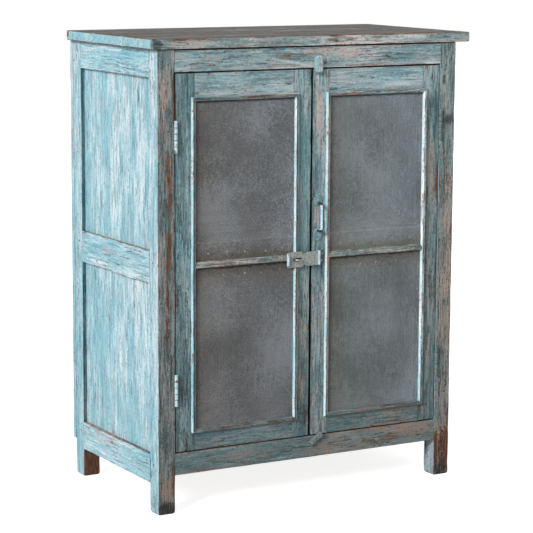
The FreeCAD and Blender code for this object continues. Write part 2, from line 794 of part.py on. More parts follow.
def build_parts():
    """Every piece, by the name of its node."""
    parts = {}
    top_pivot = pivot_screw(top_button_offset, top_button_height, top_button_thickness)
    bottom_pivot = pivot_screw(bottom_button_offset, bottom_button_height, bottom_button_thickness)
    posts_and_rails(parts, [top_pivot, bottom_pivot])
    boards_and_cleats(parts)
    door(parts, "left", lambda shape: shape, [staple()])
    door(parts, "right", mirrored, handle_screws() + hasp_plate_screws())
    parts["staple"] = [staple()]
    parts["pull_handle"] = [fused([handle_plate(-1), handle_plate(1), handle_grip()]).cut(handle_screws())]
    parts["hasp_plate"] = [hasp_plate().cut(hasp_plate_screws())]
    parts["door_right_fitting_screws"] = handle_screws() + hasp_plate_screws()
    parts["hasp_pin"] = [hasp_pin()]
    parts["hasp_strap"] = [hasp_strap()]
    parts["turn_button_top"] = [top_button()]
    parts["turn_button_bottom"] = [bottom_button()]
    parts["turn_button_screws"] = [top_pivot, bottom_pivot]
    return parts


os.makedirs("parts", exist_ok=True)
for name, solids in build_parts().items():
    shape = solids[0] if len(solids) == 1 else Part.makeCompound(solids)
    shape.translate(FreeCAD.Vector(carcass_middle_x, front_face_y, 0))
    shape.exportStep("parts/%s.step" % name)
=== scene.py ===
import itertools
import math

import bpy
import numpy as np
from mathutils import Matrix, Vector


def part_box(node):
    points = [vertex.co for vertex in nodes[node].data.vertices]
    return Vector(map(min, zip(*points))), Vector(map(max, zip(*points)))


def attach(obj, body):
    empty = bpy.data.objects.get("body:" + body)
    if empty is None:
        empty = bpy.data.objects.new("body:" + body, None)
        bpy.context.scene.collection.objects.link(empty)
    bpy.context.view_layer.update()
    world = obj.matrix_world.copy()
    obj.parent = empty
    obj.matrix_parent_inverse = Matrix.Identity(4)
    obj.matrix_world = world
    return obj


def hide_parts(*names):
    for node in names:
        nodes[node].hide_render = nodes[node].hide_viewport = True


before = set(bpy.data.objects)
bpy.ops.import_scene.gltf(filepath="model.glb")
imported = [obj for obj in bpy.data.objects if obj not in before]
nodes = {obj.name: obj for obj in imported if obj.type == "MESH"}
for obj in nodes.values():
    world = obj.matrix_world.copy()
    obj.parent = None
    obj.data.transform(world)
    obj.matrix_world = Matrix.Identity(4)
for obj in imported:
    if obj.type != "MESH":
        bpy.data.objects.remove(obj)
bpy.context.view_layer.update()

# Lengths are in millimetres from the middle of the posts' front faces, on the floor
METRE = 1000
X, Y, Z = 0, 1, 2
post_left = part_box("post_front_left")
post_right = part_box("post_front_right")
ORIGIN = np.array([(post_left[0].x + post_right[1].x) / 2, post_left[0].y, 0.0]) * METRE


def box(node):
    """A node's lowest and highest corner."""
    return [np.array(corner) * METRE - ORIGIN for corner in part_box(node)]


# Large odd numbers that scatter the corners of a grid
SCATTER, SCATTER_SEED = (374761393, 668265263, 982451653), 1274126177
ROUNDS, TOP_VALUE = ((13, 1103515245), (15, 12345677)), 0x7FFFFFFF


def noise(points, seed=0):
    """Smooth noise from -1 to 1 at points whose features are one unit apart."""
    cell = np.floor(points).astype(np.int64)
    part = points - cell
    part = part * part * (3 - 2 * part)
    total = np.zeros(len(points))
    for corner in itertools.product((0, 1), repeat=3):
        key = ((cell + corner) * SCATTER).sum(1) + seed * SCATTER_SEED
        for shift, factor in ROUNDS:
            key = (key ^ (key >> shift)) * factor & TOP_VALUE
        weight = np.prod(np.where(corner, part, 1 - part), axis=1)
        total += weight * (key / TOP_VALUE)
    return total * 2 - 1


# Marks of wear and stains on the front, with painted shade among the stains: place across and up, half width
# and half height, strength in thousandths
FRONT_MARKS = {
    "scuff": [
        (-347, 1188, 78, 9, 70), (-301, 1151, 33, 10, 42), (8, 1157, 45, 10, 49), (97, 1154, 71, 14, 35),
        (-133, 1079, 48, 11, 35), (117, 1085, 48, 29, 35), (-419, 1079, 18, 47, 42),
        (-430, 820, 16, 300, 14), (-21, 1067, 16, 33, 49), (26, 969, 18, 114, 42), (17, 740, 10, 26, 70),
        (13, 655, 12, 17, 49), (19, 522, 16, 87, 42), (22, 354, 12, 94, 42), (22, 229, 19, 65, 35),
        (-423, 60, 12, 30, 160), (-406, 78, 7, 40, 120), (-420, 1000, 22, 110, 20), (26, 980, 12, 110, 50),
        (416, 540, 30, 420, 70), (364, 560, 16, 330, 45), (47, 600, 9, 360, 80), (408, 60, 9, 60, 90),
        (368, 880, 12, 100, 50), (369, 828, 21, 90, 35), (267, 188, 44, 20, 35), (330, 140, 60, 20, 50),
        (220, 128, 240, 40, 60), (-170, 132, 110, 12, 55), (20, 120, 60, 16, 30), (-26, 400, 20, 200, 70),
        (200, 190, 170, 26, 50),
    ],
    "bare": [
        (-364, 1196, 52, 6, 100), (-315, 1133, 46, 12, 75), (-84, 1152, 34, 10, 60), (196, 1139, 43, 9, 60),
        (-34, 763, 7, 90, 50), (-26, 529, 16, 82, 40), (-413, 887, 6, 50, 100), (-409, 800, 6, 60, 120),
        (-412, 675, 7, 60, 120), (-415, 510, 6, 110, 130), (-402, 90, 8, 60, 80), (-396, 1049, 6, 60, 100),
        (389, 800, 6, 60, 130), (389, 560, 6, 90, 70), (440, 110, 9, 100, 90), (416, 56, 28, 80, 113),
        (245, 128, 110, 34, 45), (215, 120, 60, 14, 50), (428, 300, 8, 120, 70), (372, 800, 12, 60, 50),
        (-60, 1151, 60, 5, 50),
    ],
    "stain": [
        (284, 1142, 37, 12, 49), (-162, 1100, 68, 11, 35), (-371, 321, 15, 54, 42),
        (-425, 640, 20, 470, 14), (11, 843, 10, 21, 56), (-20, 419, 9, 112, 42), (-420, 10, 30, 24, 160),
        (-426, 960, 8, 120, 50), (-375, 359, 20, 70, 50), (-21, 250, 18, 110, 60), (416, 560, 30, 410, 45),
        (360, 600, 14, 300, 30), (406, 1075, 7, 16, 120), (423, 970, 14, 12, 90), (418, 60, 26, 50, 30),
        # Among the stains, (3, 800) and (5, 690) are painted shade beside the handle's plates
        (418, 8, 34, 24, 60), (3, 800, 6, 26, 100), (5, 690, 8, 26, 100), (371, 1082, 19, 25, 49),
        (416, 965, 23, 29, 49), (416, 818, 23, 99, 28), (432, 1080, 10, 30, 70), (-412, 235, 18, 98, 28),
        (-337, 169, 115, 30, 21), (-160, 128, 150, 20, 30), (-450, 1186, 22, 18, 170),
        (418, 20, 40, 24, 42), (250, 1142, 170, 24, 30), (330, 190, 60, 10, 50), (-21, 340, 20, 260, 30),
    ],
    "clean": [
        (200, 1085, 160, 34, 21), (-366, 780, 26, 300, 28), (-190, 1085, 120, 34, 21),
        (-27, 950, 18, 160, 28),
    ],
    "pale": [
        (366, 1085, 26, 50, 84), (190, 1085, 160, 34, 42), (-430, 1060, 20, 100, 21),
        (-160, 1085, 150, 34, 28), (-180, 180, 160, 26, 35),
    ],
}
# The same on the left side, with the place from front to back first
SIDE_MARKS = {
    "scuff": [
        (354, 1024, 8, 26, 80), (331, 1014, 9, 34, 90), (481, 909, 19, 84, 40), (280, 227, 153, 34, 30),
        (315, 135, 85, 16, 50), (275, 637, 70, 16, 50), (25, 60, 24, 60, 40), (157, 628, 60, 12, 50),
        (200, 430, 90, 150, 20), (24, 600, 20, 400, 20),
    ],
    "bare": [
        (380, 130, 60, 12, 30), (300, 152, 170, 5, 60), (500, 1192, 14, 12, 400), (245, 522, 9, 34, 60),
        (139, 548, 9, 26, 70), (180, 547, 9, 22, 50),
    ],
    "stain": [
        (342, 1006, 14, 40, 30), (293, 842, 14, 34, 50), (269, 1141, 70, 5, 60), (60, 1120, 16, 20, 60),
        # Among the stains, (485, 330) is painted shade along the side's back edge
        (60, 127, 50, 40, 40), (485, 330, 30, 330, 40), (20, 30, 30, 30, 80), (-3, 1188, 12, 16, 150),
        (220, 645, 100, 7, 30), (245, 430, 10, 100, 40), (392, 242, 9, 30, 80), (385, 430, 16, 120, 30),
        (262, 840, 10, 90, 30),
    ],
    "clean": [(440, 960, 40, 120, 30)],
    "pale": [(160, 420, 110, 180, 35), (190, 850, 130, 190, 25)],
}
KINDS = tuple(FRONT_MARKS)
# How deep the front's marks reach, where the left side begins, how far a mark spreads past its size
MARK_DEPTH, LEFT_SIDE, MARK_SPREAD = 30, -400, 1.5
# Wear of feet under a height: on the backs of the back ones, on the flanks of the right front one
BACK_FEET, BACK_HEIGHT, BACK_FADE, BACK_WEAR = 430, 155, 10, 0.3
FOOT_LEFT, FOOT_BACK, FOOT_HEIGHT, FOOT_FADE = 390, 100, 160, 30
FOOT_WEAR = {"scuff": 0.09, "bare": 0.06, "stain": 0.06}


def marks(points, facing):
    """How strongly each point is scuffed, bared, stained or darkened as painted shade, clean or pale, by the
    kind.
    """
    x, y, z = points.T
    found = {kind: np.zeros(len(points)) for kind in KINDS}
    front = np.clip(1 - np.abs(y) / MARK_DEPTH, 0, 1) * facing[:, Y]
    left = (x < LEFT_SIDE) * facing[:, X]
    for table, across, near in ((FRONT_MARKS, x, front), (SIDE_MARKS, y, left)):
        for kind, rows in table.items():
            for place, height, half, tall, strength in rows:
                far = ((across - place) / half) ** 2 + ((z - height) / tall) ** 2
                found[kind] += near * (strength / 1000) * np.clip(MARK_SPREAD - far, 0, 1)
    back = (y > BACK_FEET) * facing[:, Y] * np.clip((BACK_HEIGHT - z) / BACK_FADE, 0, 1)
    found["bare"] += BACK_WEAR * back
    foot = (x > FOOT_LEFT) * (y < FOOT_BACK) * facing[:, X] * np.clip((FOOT_HEIGHT - z) / FOOT_FADE, 0, 1)
    for kind, strength in FOOT_WEAR.items():
        found[kind] += strength * foot
    return found


# Meshes
def make(name, shapes, material, body, replaces=(), smooth=True):
    """One piece from shapes, each of points, faces and attributes."""
    def gather(key, missing):
        room = np.shape(missing)
        return np.concatenate([
            np.broadcast_to(shape.get(key, missing), (len(shape["points"]), *room)) for shape in shapes
        ])

    faces = []
    start = 0
    for shape in shapes:
        faces += [tuple(corner + start for corner in face) for face in shape["faces"]]
        start += len(shape["points"])
    points = np.concatenate([shape["points"] for shape in shapes])
    mesh = bpy.data.meshes.new(name)
    mesh.from_pydata(((points + ORIGIN) / METRE).tolist(), [], faces)
    vectors = {key: gather(key, (0.0, 0.0, 0.0)) for key in ("shift", "facing")}
    amounts = {"arris": gather("arris", 0.0)}
    for key, found in marks(points, vectors["facing"]).items():
        amounts[key] = found + gather(key, 0.0)
    for key, values in amounts.items():
        layer = mesh.attributes.new(key, "FLOAT", "POINT")
        layer.data.foreach_set("value", values.astype(np.float32))
    for key, values in vectors.items():
        layer = mesh.attributes.new(key, "FLOAT_VECTOR", "POINT")
        layer.data.foreach_set("vector", values.astype(np.float32).ravel())
    mesh.polygons.foreach_set("use_smooth", [smooth] * len(mesh.polygons))
    mesh.materials.append(material)
    piece = bpy.data.objects.new(name, mesh)
    bpy.context.scene.collection.objects.link(piece)
    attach(piece, body)
    if replaces:
        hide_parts(*replaces)


# Where a block's mesh is divided: shares of the arris radius, distances from a foot's end, width of a cell
ARRIS_STEPS = (0, 0.22, 0.5, 0.85, 1.3, 1.9, 2.8)
FOOT_STEPS = (0, 0.6, 1.4, 2.4, 3.6, 5.0, 7.0, 10.0)
CELL_ACROSS = 9.0
# Sizes of the features of wear, and how much longer they are along the grain
SLOW_WEAR, QUICK_WEAR, HOLLOW, GROOVE = 9.0, 3.2, 45.0, 6.0
GRAIN_STRETCH = 0.28
# How far a block's faces lie under those of the CAD, evenly and at most unevenly
INSET, DIP = 0.15, 0.3
SEAM_RADIUS, SEAM_REACH = 0.2, 9
# How far the pattern of a piece may be moved, in metres
SHIFT = 5


def divide(size, grain, radius, cell, foot):
    """Where the mesh is divided along each axis, closely at the arrises."""
    lines = []
    for axis in range(3):
        steps = np.array([step * radius for step in ARRIS_STEPS if step * radius < size[axis] * 0.4])
        if foot and axis == Z:
            steps = np.array(FOOT_STEPS)
        pace = cell if axis == grain else min(cell, CELL_ACROSS)
        count = max(1, round((size[axis] - 2 * steps[-1]) / pace))
        middle = np.linspace(steps[-1], size[axis] - steps[-1], count + 1)[1:-1]
        lines.append(np.concatenate([steps, middle, (size[axis] - steps)[::-1]]))
    return lines


def shell(lines):
    """The outer points and faces of a grid."""
    counts = [len(line) for line in lines]
    outside = np.ones(counts, bool)
    outside[1:-1, 1:-1, 1:-1] = False
    index = np.full(counts, -1)
    index[outside] = np.arange(outside.sum())
    spots = np.argwhere(outside)
    faces = []
    for axis, side in itertools.product(range(3), (0, -1)):
        sheet = np.take(index, side, axis)
        quads = np.stack([sheet[:-1, :-1], sheet[1:, :-1], sheet[1:, 1:], sheet[:-1, 1:]], -1).reshape(-1, 4)
        if (side == 0) != (axis == Y):
            quads = quads[:, ::-1]
        faces += quads.tolist()
    return np.stack([lines[axis][spots[:, axis]] for axis in range(3)], 1), faces


def worn_block(low, high, grain, radius=1.1, cell=7.0, seed=1, foot=0.0, bend=None, ends=None, seams=()):
    """A board or bar whose faces are not quite flat and whose arrises are unevenly rubbed round.

    foot rounds the lower end more, ends is the arris radius at the ends, and at seams the boards meet."""
    low, high = np.array(low, float), np.array(high, float)
    size = high - low
    flat, faces = shell(divide(size, grain, radius, cell, foot))
    placed = flat + low
    stretch = np.ones(3)
    stretch[grain] = GRAIN_STRETCH
    slow = noise(placed * stretch / SLOW_WEAR, seed)
    quick = noise(placed * stretch / QUICK_WEAR, seed + 5)
    local = radius * (1.0 + 0.55 * slow + 0.25 * quick + 2.4 * np.clip(slow - 0.42, 0, 1))
    if foot:
        local = local + np.clip(foot - flat[:, Z] * 0.55, 0, None)
    local = np.clip(local, 0.15 * radius, size.min() * 0.45)
    if ends is not None:
        share = np.clip(np.minimum(flat[:, grain], size[grain] - flat[:, grain]) / (4 * radius), 0, 1)
        local = ends + (local - ends) * share
    for seam in seams:
        share = np.clip(np.abs(placed[:, Y] - seam) / SEAM_REACH, 0, 1)
        local = SEAM_RADIUS + (local - SEAM_RADIUS) * share
    core = np.clip(flat, local[:, None], size - local[:, None])
    way = flat - core
    unit = way / np.maximum(np.linalg.norm(way, axis=1), 1e-9)[:, None]
    hollow = 0.5 + 0.5 * noise(placed * stretch / HOLLOW, seed + 9)
    grooves = 0.5 + 0.5 * noise(placed * (1 + (stretch - 1) * 1.2) / GROOVE, seed + 11)
    points = low + core + unit * (local - INSET - DIP * (0.65 * hollow + 0.35 * grooves))[:, None]
    near = np.sort(np.minimum(flat, size - flat), axis=1)[:, 1]
    if bend:
        points = points + bend(placed)
    return {
        "points": points,
        "faces": faces,
        "arris": np.clip(1 - near / (1.6 * local + 2.5), 0, 1),
        "shift": np.random.default_rng(seed).uniform(-SHIFT, SHIFT, 3),
        "facing": unit ** 2,
    }


# Materials
WHITE = (1.0, 1.0, 1.0, 1.0)


def tint(red, green, blue):
    """A colour written as in a picture, as the shader takes it."""
    def linear(value):
        value = value / 255
        return value / 12.92 if value <= 0.04045 else ((value + 0.055) / 1.055) ** 2.4
    return (linear(red), linear(green), linear(blue), 1.0)


class Nodes:
    """Adds nodes to a tree; a value is a number, a colour or another node's output."""

    def __init__(self, tree):
        self.tree = tree

    def add(self, kind, values=(), **settings):
        made = self.tree.nodes.new("ShaderNode" + kind)
        for key, value in settings.items():
            setattr(made, key, value)
        for key, value in dict(values).items():
            self.feed(made.inputs[key], value)
        return made

    def node(self, kind, out=0, values=(), **settings):
        return self.add(kind, values, **settings).outputs[out]

    def feed(self, socket, value):
        if isinstance(value, bpy.types.NodeSocket):
            self.tree.links.new(value, socket)
        else:
            socket.default_value = value

    def math(self, operation, a, b=0.0):
        return self.node("Math", 0, {0: a, 1: b}, operation=operation)


class Shader(Nodes):
    """Builds the nodes of one material, whose grain runs along one axis."""

    def __init__(self, name, grain=Z, seed=0):
        self.material = bpy.data.materials.new(name)
        self.material.use_nodes = True
        super().__init__(self.material.node_tree)
        self.surface = self.tree.nodes["Principled BSDF"]
        self.grain = grain
        self.rng = np.random.default_rng(seed)
        self.maps = {}
        self.place = self.node("TexCoord", "Object")
        shift = self.node("Attribute", "Vector", attribute_name="shift")
        moved = self.vector("ADD", self.place, shift)
        wander = self.node("TexNoise", "Color", {"Vector": moved, "Scale": 2.5, "Detail": 2.0})
        wander = self.vector("SUBTRACT", wander, (0.5, 0.5, 0.5))
        wander = self.node("VectorMath", 0, {0: wander, "Scale": 0.012}, operation="SCALE")
        self.spot = self.vector("ADD", moved, wander)

    def vector(self, operation, a, b):
        return self.node("VectorMath", 0, {0: a, 1: b}, operation=operation)

    def product(self, first, *others):
        for other in others:
            first = self.math("MULTIPLY", first, other)
        return first

    def rest(self, value):
        return self.math("SUBTRACT", 1.0, value)

    def rising(self, value, share, start):
        return self.math("ADD", self.math("MULTIPLY", value, share), start)

    def blend(self, *parts):
        """The sum of values, each times its share."""
        total = None
        for value, share in parts:
            term = self.math("MULTIPLY", value, share)
            total = term if total is None else self.math("ADD", total, term)
        return total

    def weigh(self, **shares):
        """The sum of named maps, each times its share."""
        return self.blend(*((self.maps[name], share) for name, share in shares.items()))

    def step(self, value, low, high):
        """0 where the value is under low, rising to 1 where it is over high."""
        values = {"Value": value, "From Min": low, "From Max": high}
        return self.node("MapRange", 0, values, interpolation_type="SMOOTHSTEP")

    def edge(self, value, at, soft=0.03):
        return self.step(value, at - soft, at + soft)

    def within(self, value, low, high):
        """1 between two values and 0 elsewhere."""
        over = self.math("GREATER_THAN", value, low)
        return self.product(over, self.math("LESS_THAN", value, high))

    def mix(self, share, a, b):
        return self.node("Mix", 2, {0: share, 6: a, 7: b}, data_type="RGBA")

    def times(self, colour, share):
        return self.node("Mix", 2, {0: 1.0, 6: colour, 7: share}, data_type="RGBA", blend_type="MULTIPLY")

    def grit(self, scale, detail, roughness, spot=None):
        """Even noise, so many features to the metre."""
        values = {"Vector": spot or self.spot, "Scale": scale, "Detail": detail, "Roughness": roughness}
        return self.node("TexNoise", 0, values)

    def streak(self, along, across, detail=2.0, roughness=0.5):
        """Noise whose features are so many millimetres long and wide."""
        scale = [METRE / across] * 3
        scale[self.grain] = METRE / along
        offset = self.rng.uniform(-40, 40, 3).tolist()
        moved = self.node("Mapping", 0, {"Vector": self.spot, "Location": offset, "Scale": scale})
        return self.grit(1.0, detail, roughness, moved)

    def parts(self, vector):
        return self.add("SeparateXYZ", {0: vector}).outputs

    def between(self, value, low, high):
        """0 where the value is low, rising evenly to 1 where it is high, both in millimetres."""
        return self.node("MapRange", 0, {"Value": value, "From Min": low / METRE, "From Max": high / METRE})

    def around(self, x, z):
        """Distance from a place on the front, and how far right of it and over it, in metres."""
        parts = self.parts(self.place)
        right = self.math("SUBTRACT", parts[X], (x + ORIGIN[X]) / METRE)
        over = self.math("SUBTRACT", parts[Z], z / METRE)
        away = self.math("SQRT", self.math("ADD", self.product(right, right), self.product(over, over)))
        return away, right, over

    def finish(self, colour, roughness, relief=None, depth=0.5, metal=0.0, specular=0.3):
        """The material, with relief as bumps of a depth in millimetres."""
        self.feed(self.surface.inputs["Base Color"], colour)
        self.feed(self.surface.inputs["Roughness"], roughness)
        self.surface.inputs["Metallic"].default_value = metal
        self.surface.inputs["Specular IOR Level"].default_value = specular
        if relief is not None:
            values = {"Strength": 0.7, "Distance": depth / METRE, "Height": relief}
            self.feed(self.surface.inputs["Normal"], self.node("Bump", 0, values))
        return self.material


COLOURS = ("deep", "paint", "pale", "grey", "scuff", "wood", "raw", "spot", "dark", "rust")


def look(base, deep, paint, pale=None, **changes):
    """The colours of a finish and where each begins: those of another look, and what differs."""
    changes.update(deep=deep, paint=paint)
    if pale:
        changes["pale"] = pale
    for key in COLOURS:
        if key in changes:
            changes[key] = tint(*changes[key])
    return {**base, **changes}


SIDE = look(
    {}, (128, 172, 184), (170, 212, 223), (208, 229, 238), grey=(146, 160, 169), scuff=(188, 174, 181),
    wood=(122, 92, 88), raw=(156, 128, 122), spot=(66, 82, 90), dark=(104, 112, 118), pale_at=0.535,
    grey_at=0.57, scuff_at=0.58, wood_at=0.62, stain_at=0.60, dark_at=0.565, spot_at=0.64, crack=0.85,
    low=0.98,
)
FRONT = look(
    {}, (100, 130, 137), (142, 172, 179), (192, 209, 214), grey=(118, 120, 120), scuff=(190, 178, 172),
    wood=(92, 70, 60), raw=(164, 122, 94), spot=(44, 42, 42), dark=(74, 72, 71), pale_at=0.535,
    grey_at=0.565, scuff_at=0.565, wood_at=0.60, stain_at=0.60, dark_at=0.60, spot_at=0.635, crack=0.85,
    low=0.62,
)
POST = look(
    FRONT, (76, 97, 100), (122, 143, 146), (166, 178, 179), grey=(100, 90, 84), dark=(58, 48, 44),
    scuff=(166, 152, 142), wood=(90, 56, 42), raw=(150, 94, 68), scuff_at=0.55, wood_at=0.59, dark_at=0.565,
)
FAR_POST = look(
    POST, (100, 120, 121), (154, 172, 174), (192, 203, 205), scuff=(182, 168, 157), raw=(146, 94, 72),
    scuff_at=0.56, wood_at=0.59, dark_at=0.565,
)
HINGE = look(
    FRONT, (84, 108, 111), (132, 161, 166), (160, 193, 200), grey=(94, 92, 90), scuff_at=0.615,
    wood_at=0.63, dark_at=0.58,
)
FAR_HINGE = look(
    FRONT, (76, 100, 103), (120, 148, 152), (158, 182, 186), scuff=(166, 157, 147), raw=(146, 96, 74),
    scuff_at=0.575, wood_at=0.595, dark_at=0.57,
)
LOCK = look(FRONT, (98, 136, 141), (138, 172, 177), (174, 195, 200), scuff_at=0.58, wood_at=0.63, low=0.5)
FAR_LOCK = look(
    FRONT, (98, 126, 131), (142, 165, 171), (192, 206, 210), scuff=(192, 183, 179), scuff_at=0.575,
    wood_at=0.62, pale_at=0.53,
)
TOP_RAIL = look(
    FRONT, (104, 134, 140), (156, 184, 191), (198, 213, 218), ring=(19.8, 1130.5, 22.0, 0.9),
    holes=((37.4, 1129.4, 2.2), (-402.6, 1133, 3.0), (-262, 1141, 1.6)), scuff=(192, 176, 168),
    scuff_at=0.55, wood_at=0.59,
)
LOW_RAIL = look(
    FRONT, (102, 120, 122), (144, 163, 166), (176, 192, 195), grey=(118, 112, 107), scuff=(160, 146, 136),
    scuff_at=0.565, wood_at=0.60, dark_at=0.615, low=0.68,
)
DOOR_RAIL = look(
    FRONT, (112, 140, 146), (148, 178, 184), (190, 206, 210), scuff=(196, 190, 187), scuff_at=0.575,
    wood_at=0.62,
)
LOW_DOOR_RAIL = look(
    DOOR_RAIL, (97, 120, 123), (133, 157, 160), (158, 178, 181), scuff=(160, 149, 141), dark_at=0.605,
)
HIDDEN_RAIL = look(
    FRONT, (50, 46, 43), (78, 72, 67), (104, 97, 90), grey=(60, 54, 49), scuff=(98, 86, 76), low=1.0,
)
BEAD_FRONT = look(
    FRONT, (66, 74, 74), (106, 116, 116), (150, 160, 161), grey=(88, 82, 78), scuff=(152, 134, 122),
    scuff_at=0.55, wood_at=0.58, low=0.8,
)
FAR_BEAD_FRONT = look(
    BEAD_FRONT, (88, 96, 96), (138, 148, 149), (186, 210, 218), scuff=(170, 146, 132), dark_at=0.57,
)
MIDDLE_BEAD = look(
    FRONT, (98, 106, 104), (154, 162, 160), (222, 220, 214), grey=(100, 88, 80), scuff=(196, 172, 156),
    scuff_at=0.55, wood_at=0.57, pale_at=0.53, dark_at=0.57, low=0.9,
)
BEAD_FLANK = look(
    SIDE, (150, 202, 217), (208, 240, 249), (240, 251, 254), scuff=(214, 206, 203), scuff_at=0.60,
    crack=0.5, dark_at=0.58,
)
BOARD = look(
    FRONT, (114, 130, 132), (168, 184, 186), (214, 221, 220), scuff=(198, 180, 170), scuff_at=0.55,
    wood_at=0.59, low=1.0,
)
BOARD_END = look(
    SIDE, (140, 186, 196), (168, 212, 222), (192, 224, 232), wood=(116, 84, 68), raw=(176, 122, 86),
    pale_at=0.56, wood_at=0.63, low=1.0, rub=0.03,
)
# Painted shade: the back posts' fronts show only in the recesses beside the side panels, and are painted
# dark teal for the shade there
SHADED_BACK_POST = look(
    FRONT, (40, 78, 88), (66, 110, 120), (92, 138, 148), scuff_at=0.63, low=0.8, wood=(84, 56, 44),
    raw=(134, 94, 74),
)
LEDGE = look(
    FRONT, (96, 90, 87), (132, 124, 119), scuff=(176, 154, 141), scuff_at=0.50, wood_at=0.55, low=0.9,
)
BARE = look(
    {}, (70, 54, 48), (96, 74, 66), (122, 98, 86), grey=(84, 70, 66), scuff=(112, 90, 80),
    wood=(62, 46, 40), raw=(120, 88, 70), spot=(40, 34, 32), dark=(50, 38, 33), pale_at=0.56, grey_at=0.55,
    scuff_at=0.56, wood_at=0.58, stain_at=0.62, dark_at=0.58, spot_at=0.65, crack=0.8, low=1.0,
)
# Dirt and painted shade: near black, for the stiles' edges in the gaps beside the doors
DIRT_AND_GAP_SHADE = look(
    BARE, (24, 20, 19), (34, 28, 26), (46, 39, 36), grey=(30, 25, 24), scuff=(50, 42, 38), raw=(46, 35, 30),
)
TOP = look(
    {}, (62, 60, 58), (118, 119, 117), (168, 174, 176), grey=(80, 72, 67), scuff=(150, 132, 118),
    wood=(66, 48, 40), raw=(150, 98, 68), spot=(46, 40, 38), dark=(52, 43, 39), pale_at=0.54, grey_at=0.535,
    scuff_at=0.555, wood_at=0.57, stain_at=0.59, dark_at=0.57, spot_at=0.64, crack=0.9, low=1.0, rub=0.2,
)

# How much the arrises are rubbed to wood, unless a look says otherwise
RUB = 0.09
# Streaks of old paint along the grain: length and width in millimetres, detail and roughness
STREAKS = {
    "fine": (26, 2.2, 5.0, 0.7),
    "line": (170, 6.5, 4.0, 0.65),
    "other": (80, 6.0, 5.0, 0.7),
    "patch": (130, 26, 6.0, 0.7),
    "chip": (50, 8, 7.0, 0.75),
    "flake": (80, 8, 7.0, 0.75),
    "broad": (420, 70, 1.0, 0.5),
    "cast": (150, 30, 3.0, 0.6),
    "hair": (26, 1.0, 1.0, 0.5),
    "mottle": (9, 5.5, 5.0, 0.75),
    "thin": (70, 2.6, 4.0, 0.7),
    "thread": (44, 3.6, 6.0, 0.75),
    "vein": (260, 10, 3.0, 0.6),
    "split": (110, 24, 2.0, 0.5),
}
# The heights between which paint goes from its darker foot to its full colour
FOOT_END, FULL_COLOUR = 60, 1120
COOL, WARM = (0.80, 0.93, 0.95, 1.0), (1.12, 1.01, 0.98, 1.0)
# The ring mark is left out further left of or under its middle than this
RING_CUT = -2


def paint_layers(s, chosen):
    """One face's colours, from paint up to bare wood, cracks, flecks, and stains together with painted
    shade, and where it is worn.
    """
    tone = s.weigh(line=0.32, fine=0.24, patch=0.24, mottle=0.2)
    colour = s.mix(s.step(tone, 0.44, 0.56), chosen["deep"], chosen["paint"])
    pale = s.weigh(other=0.35, broad=0.15, patch=0.3, mottle=0.2, pale=1.0)
    colour = s.mix(s.edge(pale, chosen["pale_at"], 0.055), colour, chosen["pale"])
    grey = s.weigh(patch=0.3, line=0.45, mottle=0.25, lowered=0.02)
    colour = s.mix(s.edge(grey, chosen["grey_at"]), colour, chosen["grey"])
    scuff = s.weigh(chip=0.25, thread=0.4, mottle=0.35, arris=0.04, scuff=1.0, clean=-1.0)
    colour = s.mix(s.edge(scuff, chosen["scuff_at"]), colour, chosen["scuff"])
    dark = s.edge(s.weigh(thin=0.6, fine=0.2, mottle=0.2, stain=0.4), chosen["dark_at"], 0.02)
    colour = s.mix(s.product(dark, 0.8), colour, chosen["dark"])
    rub = chosen.get("rub", RUB)
    worn = s.weigh(flake=0.3, thread=0.3, mottle=0.4, arris=rub, bare=1.0, clean=-1.0)
    worn = s.edge(worn, chosen["wood_at"], 0.022)
    grain = s.mix(s.step(s.maps["hair"], 0.42, 0.6), chosen["wood"], chosen["raw"])
    colour = s.mix(worn, colour, grain)
    # Stains, with the painted shade among the marks
    stain = s.edge(s.weigh(patch=0.4, fine=0.25, mottle=0.35, stain=1.0), chosen["stain_at"], 0.05)
    speck = s.edge(s.maps["speck"], chosen["spot_at"], 0.02)
    for share, strength in ((stain, 0.7), (s.maps["crack"], chosen["crack"]), (speck, 0.8)):
        colour = s.mix(s.product(share, strength), colour, chosen["spot"])
    if "ring" in chosen:
        x, z, radius, half = chosen["ring"]
        away, right, over = s.around(x, z)
        off = s.math("ABSOLUTE", s.math("SUBTRACT", away, radius / METRE))
        rim = s.rest(s.step(off, half / METRE / 2, half / METRE / 0.7))
        for side in (right, over):
            rim = s.product(rim, s.math("GREATER_THAN", side, RING_CUT / METRE))
        colour = s.mix(s.product(rim, 0.75), colour, chosen["spot"])
        for x, z, radius in chosen["holes"]:
            away = s.around(x, z)[0]
            hole = s.rest(s.step(away, 0.8 * radius / METRE, 1.3 * radius / METRE))
            colour = s.mix(hole, colour, chosen["spot"])
    low = chosen["low"]
    return s.times(colour, s.mix(s.maps["tall"], (low, low, low, 1.0), WHITE)), worn


painted_before = {}


